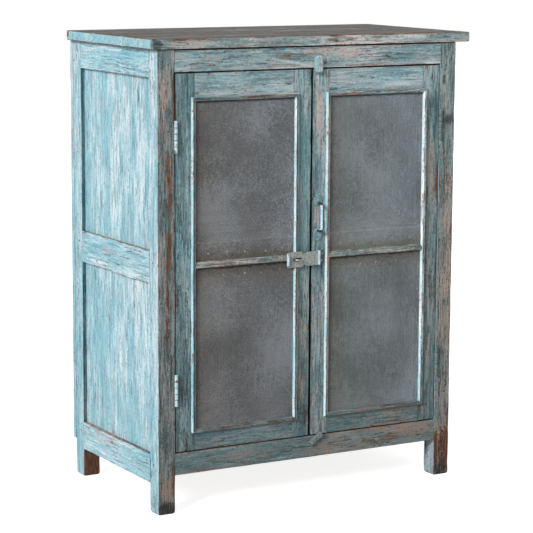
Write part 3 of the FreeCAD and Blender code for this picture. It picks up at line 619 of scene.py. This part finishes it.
def painted(name, grain, seed, front, flank=None, ledge=None):
    """Old oil paint, rubbed through in streaks along the grain to a chalky ground and to bare wood.

    front is the look of faces across Y, flank of faces across X and ledge of level faces."""
    kind = (grain, id(front), id(flank), id(ledge))
    if kind in painted_before:
        return painted_before[kind]
    s = Shader(name, grain, seed)
    s.maps = {key: s.streak(*values) for key, values in STREAKS.items()}
    for key in ("arris", *KINDS):
        s.maps[key] = s.node("Attribute", "Fac", attribute_name=key)
    vein = s.math("ABSOLUTE", s.math("SUBTRACT", s.maps["vein"], 0.5))
    split = s.step(s.maps["split"], 0.49, 0.57)
    s.maps["tall"] = s.between(s.parts(s.place)[Z], FOOT_END, FULL_COLOUR)
    s.maps["lowered"] = s.rest(s.maps["tall"])
    s.maps["speck"] = s.grit(210.0, 4.0, 0.7)
    s.maps["crack"] = s.product(s.rest(s.step(vein, 0.004, 0.018)), split)
    colour, worn = paint_layers(s, front)
    s.maps["worn"] = worn
    facing = s.parts(s.node("Attribute", "Vector", attribute_name="facing"))
    for other, axis in ((flank, X), (ledge, Z)):
        if other:
            colour = s.mix(s.step(facing[axis], 0.3, 0.7), colour, paint_layers(s, other)[0])
    hue = s.step(s.weigh(broad=0.3, cast=0.7), 0.38, 0.62)
    colour = s.times(colour, s.mix(hue, COOL, WARM))
    relief = s.weigh(hair=0.2, fine=0.5, line=0.3, worn=-0.5, speck=0.25, crack=-0.6)
    rough = s.math("ADD", s.weigh(fine=0.25, worn=0.15), 0.58)
    painted_before[kind] = s.finish(colour, rough, relief, specular=0.2)
    return painted_before[kind]


def bare_wood(name, grain, seed, dark, light):
    """Old unpainted wood with open grain and a little dust."""
    s = Shader(name, grain, seed)
    line = s.streak(260, 5.0, 3.0, 0.65)
    fine = s.streak(60, 1.6, 2.0, 0.6)
    broad = s.streak(500, 60, 1.0)
    speck = s.grit(160.0, 2.0, 0.6)
    tone = s.blend((line, 0.5), (fine, 0.25), (broad, 0.25))
    colour = s.mix(s.step(tone, 0.36, 0.64), dark, light)
    colour = s.mix(s.edge(speck, 0.7), colour, tint(40, 34, 30))
    relief = s.blend((line, 0.6), (fine, 0.4))
    return s.finish(colour, s.rising(fine, 0.25, 0.62), relief)


def metal_paint(name, seed, first, zones=(), joints=()):
    """Thick paint on iron, rubbed to metal and rust.

    zones are other looks between two places along an axis, joints the hinges whose knuckles show lines."""
    s = Shader(name, Z, seed)
    broad = s.grit(40.0, 4.0, 0.65)
    small = s.grit(150.0, 4.0, 0.7)
    speck = s.grit(420.0, 2.0, 0.6)
    tone = s.step(s.blend((small, 0.65), (broad, 0.35)), 0.38, 0.62)
    chip = s.blend((broad, 0.45), (small, 0.55))
    rusty = s.step(speck, 0.35, 0.65)
    parts = s.parts(s.place)

    def layers(chosen):
        worn = s.edge(chip, chosen["chip_at"], 0.025)
        paint = s.mix(tone, chosen["deep"], chosen["paint"])
        return s.mix(worn, paint, s.mix(rusty, chosen["rust"], chosen["scuff"])), worn

    colour, flaked = layers(first)
    for axis, low, high, chosen in zones:
        share = s.within(parts[axis], (low + ORIGIN[axis]) / METRE, (high + ORIGIN[axis]) / METRE)
        colour = s.mix(share, colour, layers(chosen)[0])
    for low, high, count in joints:
        knuckle = s.product(s.math("SUBTRACT", parts[Z], low / METRE), METRE * count / (high - low))
        near = s.math("PINGPONG", knuckle, 0.5)
        line = s.product(s.rest(s.step(near, 0.03, 0.09)), s.within(knuckle, 0.3, count - 0.3))
        colour = s.mix(s.product(line, 0.75), colour, tint(70, 60, 54))
    relief = s.blend((small, 0.7), (speck, 0.3), (flaked, -0.5))
    return s.finish(colour, s.rising(speck, 0.3, 0.35), relief, 0.4)


def bare_metal(name, seed, bright, dull):
    """Bare steel, dulled and stained in spots."""
    s = Shader(name, Z, seed)
    small = s.grit(160.0, 3.0, 0.6)
    speck = s.grit(700.0, 2.0, 0.6)
    colour = s.mix(s.step(s.blend((small, 0.6), (speck, 0.4)), 0.4, 0.6), dull, bright)
    return s.finish(colour, s.rising(speck, 0.3, 0.25), speck, 0.1, metal=0.85, specular=0.5)


# The gauze's painted shade at its left edge and painted light at its right edge, and its darker tone low on
# the door; the heights between which it darkens
GAUZE_SHADED_LEFT, GAUZE_LIT_RIGHT = (0.92, 0.89, 0.85, 1.0), (1.08, 1.10, 1.12, 1.0)
GAUZE_LOW = (0.80, 0.785, 0.77, 1.0)
DARKER_FROM, DARKER_TO = 900, 300
# A band softer than this has the ragged edge, others the neat one, in millimetres
SOFT, RAGGED, NEAT = 2.5, 30, 8


def gauze_metal(name, seed, low, high, dull, bright, bands):
    """Dull galvanised wire, stained in broad soft patches, darker and browner toward its left edge as
    painted shade, lighter toward its right edge as painted light, and darker downward.

    A band stains, shades or lights the wire between two places along an axis, with soft edges."""
    s = Shader(name, Z, seed)
    broad = s.grit(5.0, 2.0, 0.5)
    line = s.grit(60.0, 4.0, 0.7)
    speck = s.grit(260.0, 3.0, 0.8)
    tone = s.blend((broad, 0.35), (line, 0.15), (speck, 0.5))
    colour = s.mix(s.step(tone, 0.42, 0.58), dull, bright)
    parts = s.parts(s.place)
    # Painted shade toward the left edge and painted light toward the right
    lit = s.between(parts[X], low[X] + ORIGIN[X], high[X] + ORIGIN[X])
    colour = s.times(colour, s.mix(lit, GAUZE_SHADED_LEFT, GAUZE_LIT_RIGHT))
    for axis, start, stop, soft, shade in bands:
        ragged = s.product(s.math("SUBTRACT", line, 0.5), (RAGGED if soft > SOFT else NEAT) / METRE)
        torn = s.math("ADD", parts[axis], ragged)
        begun = s.edge(torn, (start + ORIGIN[axis]) / METRE, soft / METRE)
        ended = s.edge(torn, (stop + ORIGIN[axis]) / METRE, soft / METRE)
        colour = s.times(colour, s.mix(s.product(begun, s.rest(ended)), WHITE, shade))
    darker_low = s.between(parts[Z], DARKER_FROM, DARKER_TO)
    colour = s.times(colour, s.mix(darker_low, WHITE, GAUZE_LOW))
    return s.finish(colour, s.rising(speck, 0.3, 0.45), metal=0.25, specular=0.4)


# Wood, from the nodes' boxes
def wood(node, low, high, grain, looks, seed, body="cabinet", **shape):
    """A worn block that replaces a node."""
    name = node + "_wood"
    material = painted(name, grain, seed, *looks)
    block = worn_block(low, high, grain, seed=seed, **shape)
    make(name, [block], material, body, (node,))


def along(axis, amount):
    """A move along one axis for each point."""
    return amount[:, None] * np.eye(3)[axis]


POST_FRONTS = {"front_left": POST, "front_right": FAR_POST, "back_left": SHADED_BACK_POST, "back_right": SHADED_BACK_POST}
posts = {place: box("post_" + place) for place in POST_FRONTS}
for number, (place, front) in enumerate(POST_FRONTS.items()):
    wood("post_" + place, *posts[place], Z, (front, SIDE, BARE), 11 + number, foot=5.0, cell=6.0, radius=1.3)

# Worn edges of rails: over what height, how far and how unevenly up, the waves' pace and their seed
UPPER_EDGE = (14, -2.2, -0.5, (0.02, 0, 0), 3)
LOWER_EDGE = (12, 1.6, 1.6, (0, 0.018, 0), 4)


def worn_edge(height, reach, rise, wave, pace, seed):
    """Moves the edge of a rail at a height unevenly up or down."""
    def bend(points):
        share = np.clip(1 - np.abs(points[:, Z] - height) / reach, 0, 1)
        return along(Z, share * (rise + wave * noise(points * pace, seed)))
    return bend


RAIL_FRONTS = {"front": {"top": TOP_RAIL, "bottom": LOW_RAIL}, "back": {"top": BARE, "bottom": BARE}}
for number, (place, fronts) in enumerate(RAIL_FRONTS.items()):
    for level, (height, front) in enumerate(fronts.items()):
        node = f"{place}_{height}_rail"
        low, high = box(node)
        low[X], high[X] = posts[place + "_left"][1][X], posts[place + "_right"][0][X]
        bend = worn_edge(high[Z], *UPPER_EDGE) if node == "front_top_rail" else None
        seed = 21 + 2 * number + level
        wood(node, low, high, X, (front, FRONT, LEDGE), seed, cell=6.0, ends=0.4, bend=bend)

for side, seed in (("left", 31), ("right", 41)):
    for level, height in enumerate(("top", "middle", "bottom")):
        node = f"side_{side}_{height}_rail"
        low, high = box(node)
        low[Y], high[Y] = posts["front_left"][1][Y], posts["back_" + side][0][Y]
        bend = worn_edge(low[Z], *LOWER_EDGE) if height == "middle" else None
        looks = (FRONT, SIDE, LEDGE)
        wood(node, low, high, Y, looks, seed + level, cell=6.0, ends=0.4, radius=1.4, bend=bend)
    for level, height in enumerate(("upper", "lower")):
        node = f"side_{side}_{height}_panel"
        wood(node, *box(node), Z, (FRONT, SIDE), seed + 20 + level, cell=9.0)

# Top boards; the front one is rubbed to bare wood along its edge, most at the right
RUBBED, RUBBED_REACH = 0.12, 30
RUBBED_FROM, RUBBED_FADE, RUBBED_LEAST = -150, 200, 0.2
seams = [corner[Y] for corner in box("top_board_middle")]
for number, place in enumerate(("front", "middle", "back")):
    node = f"top_board_{place}"
    board = worn_block(*box(node), X, radius=1.8, seed=71 + number, ends=5.0, seams=seams)
    if place == "front":
        edge = np.clip(1.5 - (board["points"][:, Y] - box(node)[0][Y]) / RUBBED_REACH, 0, 1)
        right = np.clip((board["points"][:, X] - RUBBED_FROM) / RUBBED_FADE, RUBBED_LEAST, 1)
        board["bare"] = RUBBED * board["facing"][:, Z] * edge * right
    material = painted(node, X, 71, BOARD, BOARD_END, TOP)
    make(node + "_wood", [board], material, "cabinet", (node,))

# Back boards
BACK_COUNT, BACK_GAP = 6, 0.6
low, high = box("back_boards")
width = (high[X] - low[X] + BACK_GAP) / BACK_COUNT
boards = []
for number in range(BACK_COUNT):
    left = low[X] + number * width
    board_low = (left, low[Y], low[Z])
    board_high = (left + width - BACK_GAP, high[Y], high[Z])
    boards.append(worn_block(board_low, board_high, Z, seed=81 + number, cell=10.0))
material = painted("back_boards_wood", Z, 81, BARE, SIDE)
make("back_boards_wood", boards, material, "cabinet", ("back_boards",))

# Doors
# Wear where the doors meet: how far at least and how much more low down, and over what width
MEETING_WEAR = {"left": (0.3, 1.5), "right": (0.2, 0.0)}
MEETING_WIDTH = 6
LOWER_FROM, LOWER_FADE = 950, 500


def worn_meeting(side):
    """Takes the edge where the doors meet back, more toward the bottom of the left door."""
    end, way = (1, -1) if side == "left" else (0, 1)
    meeting = box(f"door_{side}_lock_stile")[end][X]
    least, more = MEETING_WEAR[side]

    def bend(points):
        near = np.clip(1 - np.abs(points[:, X] - meeting) / MEETING_WIDTH, 0, 1)
        lower = np.clip((LOWER_FROM - points[:, Z]) / LOWER_FADE, 0, 1)
        amount = least + more * lower + 0.35 * noise(points * (0, 0, 0.02), 5)
        return along(X, way * near * amount)
    return bend


STILE_FRONTS = {"left": (HINGE, LOCK), "right": (FAR_HINGE, FAR_LOCK)}
DOOR_RAIL_FRONTS = {"top": DOOR_RAIL, "middle": HIDDEN_RAIL, "bottom": LOW_DOOR_RAIL}
for side, seed in (("left", 100), ("right", 120)):
    body = f"door_{side}"
    stiles = [box(f"{body}_{part}_stile") for part in ("hinge", "lock")]
    inner = sorted(corner[X] for stile in stiles for corner in stile)[1:3]
    for number, part in enumerate(("hinge_stile", "lock_stile")):
        node = f"{body}_{part}"
        bend = worn_meeting(side) if part == "lock_stile" else None
        # The stiles' edges are near black, as dirt and painted shade in the gaps beside the doors
        looks = (STILE_FRONTS[side][number], DIRT_AND_GAP_SHADE, LEDGE)
        wood(node, *box(node), Z, looks, seed + number, body, cell=6.0, bend=bend)
    for number, (part, front) in enumerate(DOOR_RAIL_FRONTS.items()):
        node = f"{body}_{part}_rail"
        low, high = box(node)
        low[X], high[X] = inner
        wood(node, low, high, X, (front, FRONT, LEDGE), seed + 5 + number, body, cell=6.0, ends=0.4)

# Beads
SWEEP_CELL = 7.0
# Unevenness of a bead: size of its features, first seed and strength
BEAD_WAVES = ((7.0, 0, 0.22), (30.0, 7, 0.18))


def bar_faces(rows, ring, start=0):
    """Faces of a bar that is made of rings of points, closed at both ends."""
    faces = [tuple(range(start, start + ring))[::-1]]
    for row, number in itertools.product(range(start, start + rows * ring, ring), range(ring)):
        a, b = row + number, row + (number + 1) % ring
        faces.append((a, b, b + ring, a + ring))
    end = start + rows * ring
    return [*faces, tuple(range(end, end + ring))]


def sweep(starts, stops, seed):
    """A bar between two ends, which are the corners of its section in order."""
    count = max(2, round(np.abs(stops - starts).max() / SWEEP_CELL))
    shares = np.linspace(0, 1, count + 1)[:, None, None]
    points = (starts[None] * (1 - shares) + stops[None] * shares).reshape(-1, 3)
    rough = np.zeros(points.shape)
    for reach, first, strength in BEAD_WAVES:
        rough += strength * np.stack([noise(points / reach, seed + first + axis) for axis in range(3)], 1)
    return {"points": points + rough, "faces": bar_faces(count, len(starts))}


def turned(shape):
    """A shape with its faces the other way round."""
    return {**shape, "faces": [face[::-1] for face in shape["faces"]]}


# Corners of a frame bead: distance from its outer edge and from its back, arris and slope
BEAD = np.array([
    (0, 0, 0, 1), (0, 5.2, 0, 1), (0.4, 6.0, 0.5, 1), (1.4, 7.1, 0.8, 0.9), (2.4, 7.8, 0.8, 0.5),
    (3.2, 8.0, 0.4, 0), (7.4, 8.0, 0.4, 0), (8.2, 7.8, 0.8, 0.5), (9.2, 7.0, 0.8, 0.9),
    (10.1, 6.0, 0.5, 1), (10.5, 5.2, 0, 1), (10.5, 0, 0, 1),
])
BEAD_WIDTH = 10.5


def frame_bead(low, high, edge, seed):
    """One of four mitred beads; edge is left, right, low or high."""
    upright = edge in ("left", "right")
    side, lengthwise = (X, Z) if upright else (Z, X)
    across, proud, arris, slope = BEAD.T
    starts = np.zeros((len(BEAD), 3))
    starts[:, Y] = high[Y] - proud
    starts[:, side] = low[side] + across if edge in ("left", "low") else high[side] - across
    stops = starts.copy()
    starts[:, lengthwise] = low[lengthwise] + across
    stops[:, lengthwise] = high[lengthwise] - across
    shape = sweep(starts, stops, seed)
    if edge in ("right", "low"):
        shape = turned(shape)
    count = len(shape["points"]) // len(BEAD)
    slope = np.tile(slope, count)
    shape["arris"] = np.tile(arris, count)
    shape["facing"] = np.stack([slope * upright, 1 - slope, slope * (not upright)], 1)
    shape["shift"] = np.random.default_rng(seed).uniform(-SHIFT, SHIFT, 3)
    return shape


# Corners of a middle bead: distance from its back and height over its middle
MIDDLE_SECTION = ((0, -8), (6.0, -7.2), (7.4, -6.2), (8.0, -5.0), (8.0, 0.6), (7.6, 1.6), (0, 8))
MIDDLE_SHIFT = (3.1, -2.0, 1.7)
MIDDLE_END = 10.0
MIDDLE_DROP = 5.0


def middle_height(rail):
    """The height of the middle bead, a little under the middle of its rail."""
    return (rail[0][Z] + rail[1][Z]) / 2 - MIDDLE_DROP


# First seed and look of a door's beads, stain on its left bead and paleness of its right one
BEAD_LOOKS = {"left": (140, BEAD_FRONT, 0.06, 0.0), "right": (150, FAR_BEAD_FRONT, 0.02, 0.045)}
for side, (seed, front, stain, pale) in BEAD_LOOKS.items():
    body = f"door_{side}"
    node = f"{body}_beads"
    low, high = box(node)
    uprights = [frame_bead(low, high, "left", seed), frame_bead(low, high, "right", seed + 1)]
    uprights[0]["stain"] = stain
    uprights[1]["pale"] = pale
    levels = [frame_bead(low, high, "low", seed + 3), frame_bead(low, high, "high", seed + 4)]
    middle = middle_height(box(f"{body}_middle_rail"))
    left = low[X] + MIDDLE_END
    starts = np.array([(left, high[Y] - proud, middle + rise) for proud, rise in MIDDLE_SECTION])
    stops = starts + (high[X] - low[X] - 2 * MIDDLE_END, 0, 0)
    bar = turned(sweep(starts, stops, seed + 6))
    bar["shift"] = MIDDLE_SHIFT
    for part, shapes, grain, draw, looks in (
        ("upright_beads", uprights, Z, seed, (front, BEAD_FLANK)),
        ("middle_bead", [bar], X, seed + 2, (MIDDLE_BEAD, None, MIDDLE_BEAD)),
        ("level_beads", levels, X, seed + 1, (front, BEAD_FLANK, FRONT)),
    ):
        name = f"{body}_{part}"
        make(name, shapes, painted(name, grain, draw, *looks), body, (node,), False)

# Wire gauze
GAUZE_PITCH, WIRE = 1.8, 0.44
# Distance between the points along a wire, and how far a wire strays sideways
STATION, STRAY = 18, 0.22
# Wires of one direction lie this far before the middle of the sheet, the others behind it
WEAVE = 0.12
# Where the gauze is held, and over what distance it comes free
HELD, FREED = 12, 40
# Dents: depth in the middle, then size of the features and depth
DENT = 0.8
DENT_WAVES = ((85.0, 1.6), (30.0, 0.8))


def dented(low, high, rail, seed):
    """How far gauze is pushed in at each point, none at the beads and the middle rail."""
    def dent(points):
        rim = np.minimum(points[:, X] - low[X], high[X] - points[:, X])
        rim = np.minimum(rim, np.minimum(points[:, Z] - low[Z], high[Z] - points[:, Z]))
        middle = (rail[0][Z] + rail[1][Z]) / 2
        rim = np.minimum(rim, np.abs(points[:, Z] - middle) - (rail[1][Z] - rail[0][Z]) / 2)
        free = np.clip((rim - HELD) / FREED, 0, 1)
        flat = points * (1, 0, 1)
        depth = DENT
        for number, (reach, strength) in enumerate(DENT_WAVES):
            depth = depth + strength * noise(flat / reach, seed + number)
        return free * depth
    return dent


def wires(low, high, along, y, dent, seed):
    """Straight wires along one axis, pushed in and out by dent."""
    across = X if along == Z else Z
    places = np.arange(low[across] + GAUZE_PITCH / 2, high[across], GAUZE_PITCH)
    count = max(2, round((high[along] - low[along]) / STATION)) + 1
    centre = np.zeros((len(places), count, 3))
    centre[..., across] = places[:, None]
    centre[..., along] = np.linspace(low[along], high[along], count)[None]
    centre[..., Y] = y
    flat = centre.reshape(-1, 3)
    flat[:, Y] += dent(flat)
    flat[:, across] += STRAY * noise(flat / 40.0, seed)
    half = WIRE / 2
    corners = np.zeros((4, 3))
    corners[:, across] = (-half, half, half, -half)
    corners[:, Y] = (-half, -half, half, half)
    points = (flat[:, None] + corners[None]).reshape(-1, 3)
    faces = []
    for start in range(0, len(points), 4 * count):
        faces += bar_faces(count - 1, 4, start)
    shape = {"points": points, "faces": faces}
    return turned(shape) if along == X else shape


def gauze_bands(rail, inner):
    """Where the gauze is stained, or darkened and lightened as painted shadow and highlight: axis, start,
    end, softness and shade.
    """
    middle = middle_height(rail)
    left, top = inner[0][X], inner[1][Z]
    return [
        (Z, rail[0][Z], rail[1][Z] - 20, 12.0, (0.92, 0.88, 0.83, 1.0)),
        # Painted shadow under the middle bead
        (Z, middle - 13, middle - 6, 3.0, (0.30, 0.27, 0.25, 1.0)),
        (Z, middle - 30, middle - 12, 5.0, (0.80, 0.76, 0.71, 1.0)),
        (Z, middle + 6, middle + 22, 6.0, (0.84, 0.78, 0.70, 1.0)),
        # Painted highlight along the top of the middle rail
        (Z, rail[1][Z] - 2, rail[1][Z] + 2, 2.0, (1.18, 1.18, 1.16, 1.0)),
        # Dirt and painted shadow under the top bead
        (Z, top - 5, top + 30, 2.0, (0.42, 0.37, 0.35, 1.0)),
        # Painted shadow along the left bead
        (X, left - 30, left + 4, 2.0, (0.55, 0.50, 0.46, 1.0)),
        # Painted shade spreading from the left bead
        (X, left - 30, left + 40, 25.0, (0.92, 0.88, 0.84, 1.0)),
    ]


# First seed and tones of a door's gauze
GAUZE_TONES = {
    "left": (160, tint(130, 132, 134), tint(184, 190, 196)),
    "right": (170, tint(134, 140, 142), tint(180, 191, 197)),
}
for side, (seed, dull, bright) in GAUZE_TONES.items():
    body = f"door_{side}"
    node = f"{body}_gauze"
    name = f"{body}_wire_gauze"
    low, high = box(node)
    rail = box(f"{body}_middle_rail")
    beads = box(f"{body}_beads")
    bands = gauze_bands(rail, (beads[0] + BEAD_WIDTH, beads[1] - BEAD_WIDTH))
    metal = gauze_metal(name, seed, low, high, dull, bright, bands)
    dent = dented(low, high, rail, seed)
    sheet = (low[Y] + high[Y]) / 2
    upright = wires(low, high, Z, sheet - WEAVE, dent, seed)
    level = wires(low, high, X, sheet + WEAVE, dent, seed + 3)
    make(name, [upright, level], metal, body, (node,), False)

# Tacks along the middle rails: place on the left door and height
TACKS = (
    (-301, 661), (-246, 664), (-195, 659), (-135, 657), (-85, 661),
    (-258, 603), (-195, 604), (-147, 602), (-92, 606),
)
TACK_RADIUS, TACK_RISE, TACK_SIDES = 2.7, 1.2, 10
# Rings of a tack's head: share of its radius and distance proud of the gauze
TACK_RINGS = ((0.55, 1.05), (0.9, 0.6), (1.0, 0.15), (0.9, 0.0))


def tack(place, height, front, seed):
    """A tack's low domed head, a little off round."""
    radius = TACK_RADIUS + np.random.default_rng(seed).uniform(-0.2, 0.2)
    points = [(place, front - TACK_RISE, height)]
    for (share, rise), number in itertools.product(TACK_RINGS, range(TACK_SIDES)):
        angle = 2 * math.pi * number / TACK_SIDES
        reach = radius * share * (1 + 0.05 * math.sin(3 * angle + seed))
        points.append((place + reach * math.cos(angle), front - rise, height + reach * math.sin(angle)))
    faces = [(0, 1 + (number + 1) % TACK_SIDES, 1 + number) for number in range(TACK_SIDES)]
    faces += bar_faces(len(TACK_RINGS) - 1, TACK_SIDES, 1)[1:]
    return {"points": np.array(points), "faces": faces}


tack_metal = bare_metal("tack_metal", 12, tint(186, 188, 186), tint(96, 86, 78))
for side, way, moved in (("left", 1, 0), ("right", -1, 3)):
    front = box(f"door_{side}_gauze")[0][Y]
    heads = [tack(way * x + moved, z, front, 7 + number) for number, (x, z) in enumerate(TACKS)]
    make(f"door_{side}_tacks", heads, tack_metal, f"door_{side}")

# Nodes that keep their CAD shape
IRON = look({}, (140, 178, 190), (218, 236, 242), rust=(84, 64, 54), scuff=(160, 134, 120), chip_at=0.56)
FAR_IRON = look(IRON, (78, 98, 102), (116, 142, 147), scuff=(128, 100, 84), chip_at=0.56)
STRAP = look({}, (116, 124, 121), (178, 186, 184), rust=(86, 68, 56), scuff=(176, 140, 114), chip_at=0.555)
# Painted shade: the hasp's plate and pin, dark as in the shade beside the strap's knuckle
SHADED_PLATE = look({}, (58, 66, 69), (98, 110, 114), rust=(60, 46, 40), scuff=(116, 100, 88), chip_at=0.57)
# Painted highlight: near white where the hasp's knuckles and the strap's lip catch the light
PAINTED_HIGHLIGHT = look({}, (168, 198, 208), (220, 238, 244), rust=(120, 100, 88), scuff=(170, 164, 158), chip_at=0.62)
HANDLE = look({}, (92, 128, 134), (158, 194, 199), rust=(50, 44, 42), scuff=(130, 118, 106), chip_at=0.555)
# Painted highlight on the lit side of the handle's grip
GRIP_HIGHLIGHT = look({}, (148, 190, 203), (210, 235, 242), rust=(58, 52, 48), scuff=(150, 142, 132), chip_at=0.59)
# Painted shade for the handle's far side and arms
SHADED = look({}, (42, 46, 48), (80, 88, 90), rust=(40, 32, 28), scuff=(90, 78, 70), chip_at=0.57)
BUTTON = look(FRONT, (112, 148, 156), (154, 192, 200), (206, 226, 231), scuff_at=0.62, wood_at=0.66)
LEAF = look({}, (60, 66, 66), (84, 94, 95), rust=(60, 46, 38), scuff=(96, 80, 68), chip_at=0.57)

# Length of a hinge's barrel, and its knuckles
BARREL_LENGTH, KNUCKLES = 78, 5
lip = box("hasp_strap")[0][X]
handle = sum(corner[X] for corner in box("pull_handle")) / 2
leaves = box("door_left_hinge_leaves")
low, high = leaves[0][Z], leaves[1][Z]
barrels = [(low, low + BARREL_LENGTH, KNUCKLES), (high - BARREL_LENGTH, high, KNUCKLES)]
# Where another look shows on iron: axis, start, end and look; a later one lies over the others
HINGE_ZONES = ((X, 0, 480, FAR_IRON), (Y, -2.2, 30, LEAF))
# The strap's knuckle and lip, and the plate's knuckles, take the painted highlight
STRAP_ZONES = ((X, 14, 30, PAINTED_HIGHLIGHT), (X, -90, lip + 1.8, PAINTED_HIGHLIGHT))
PLATE_ZONES = ((X, 12, 24, PAINTED_HIGHLIGHT),)
# The grip takes the painted highlight, then painted shade on its far side and its arms; its plates keep
# their paint
HANDLE_ZONES = (
    (Y, -60, -5, GRIP_HIGHLIGHT), (X, handle - 0.6, handle + 20, SHADED), (Z, 690, 703, SHADED), (Z, 767, 780, SHADED),
    (Y, -4, 5, HANDLE),
)
hinge_iron = metal_paint("hinge_iron", 5, IRON, HINGE_ZONES, barrels)
steel = bare_metal("bare_steel", 6, tint(205, 208, 210), tint(120, 116, 110))
inner_wood = bare_wood("inner_wood", X, 7, tint(92, 78, 66), tint(150, 132, 112))
fittings = "door_right_fitting_screws"
dressed = {
    hinge_iron: [n for n in nodes if "hinge_leaves" in n or "hinge_post_leaves" in n or n == "hinge_pins"],
    metal_paint("strap_iron", 15, STRAP, STRAP_ZONES): ["hasp_strap"],
    metal_paint("plate_iron", 16, SHADED_PLATE, PLATE_ZONES): ["hasp_plate", "hasp_pin"],
    metal_paint("handle_iron", 17, HANDLE, HANDLE_ZONES): ["pull_handle", fittings],
    steel: [n for n in nodes if n != fittings and ("screws" in n or n == "staple")],
    inner_wood: ["floor_boards", "shelf_boards", "board_cleats", "door_stops", "joint_pegs"],
    painted("top_button_paint", Z, 8, BUTTON): ["turn_button_top"],
    painted("bottom_button_paint", Z, 9, LOW_RAIL): ["turn_button_bottom"],
}
WELD_REACH, BEVEL_WIDTH, BEVEL_ANGLE = 0.01, 0.4, 40
for material, names in dressed.items():
    for name in names:
        node = nodes[name]
        if not node.material_slots:
            node.data.materials.append(material)
        for holder in node.material_slots:
            holder.material = material
        weld = node.modifiers.new("weld", "WELD")
        weld.merge_threshold = WELD_REACH / METRE
        bevel = node.modifiers.new("bevel", "BEVEL")
        bevel.width = BEVEL_WIDTH / METRE
        bevel.segments = 2
        bevel.limit_method = "ANGLE"
        bevel.angle_limit = math.radians(BEVEL_ANGLE)


# Studio
def place_object(name, data):
    """Puts new data in the scene."""
    placed = bpy.data.objects.new(name, data)
    bpy.context.scene.collection.objects.link(placed)
    return placed


def cleared(owner):
    """The nodes of a material or a world, with none in place yet."""
    owner.use_nodes = True
    owner.node_tree.nodes.clear()
    return Nodes(owner.node_tree)


FLOOR_REACH = 14.0
FLOOR_GREY, FLOOR_GLOW = (0.88, 0.88, 0.88, 1.0), (0.84, 0.84, 0.84, 1.0)
floor_mesh = bpy.data.meshes.new("floor")
corners = [(FLOOR_REACH * x, FLOOR_REACH * y, 0) for x, y in ((-1, -1), (1, -1), (1, 1), (-1, 1))]
floor_mesh.from_pydata(corners, [], [(0, 1, 2, 3)])
floor = place_object("floor", floor_mesh)
ground = bpy.data.materials.new("floor")
drawn = cleared(ground)
diffuse = drawn.node("BsdfDiffuse", 0, {"Color": FLOOR_GREY})
glow = drawn.node("Emission", 0, {"Color": FLOOR_GLOW, "Strength": drawn.node("LightPath", "Is Camera Ray")})
drawn.add("OutputMaterial", {"Surface": drawn.node("AddShader", 0, {0: diffuse, 1: glow})})
floor_mesh.materials.append(ground)

# The world is white to the camera and in reflections, and lights the scene less
WORLD_LIGHT = 0.30
world = bpy.data.worlds.new("studio")
bpy.context.scene.world = world
drawn = cleared(world)
ray = drawn.add("LightPath").outputs
direct = drawn.math("MAXIMUM", ray["Is Camera Ray"], ray["Is Glossy Ray"])
through = drawn.math("MAXIMUM", direct, ray["Is Transmission Ray"])
level = drawn.node("MapRange", 0, {"Value": through, "To Min": WORLD_LIGHT, "To Max": 1.0})
background = drawn.node("Background", 0, {"Color": WHITE, "Strength": level})
drawn.add("OutputWorld", {"Surface": background})

# The sun, and which way it shines
SUN_STRENGTH, SUN_SOFTNESS = 3.0, 0.35
SUN_WAY = (0.78, 0.42, -0.46)
sun = bpy.data.lights.new("key", "SUN")
sun.energy = SUN_STRENGTH
sun.angle = SUN_SOFTNESS
tilt = math.atan2(math.hypot(SUN_WAY[X], SUN_WAY[Y]), -SUN_WAY[Z])
place_object("key", sun).rotation_euler = (tilt, 0, math.atan2(SUN_WAY[Y], SUN_WAY[X]) - math.pi / 2)

# The camera's place in metres, turn in degrees and lens in millimetres
CAMERA_PLACE = (-2.780435, -4.831235, 1.471229)
CAMERA_TURN = (80.820, -0.304, -29.817)
CAMERA_LENS = 141.948
camera = bpy.data.cameras.new("camera")
camera.sensor_width = 36
camera.lens = CAMERA_LENS
camera.clip_end = 100
view = place_object("camera", camera)
view.location = CAMERA_PLACE
view.rotation_euler = [math.radians(angle) for angle in CAMERA_TURN]
bpy.context.scene.camera = view
bpy.context.scene.view_settings.view_transform = "Standard"
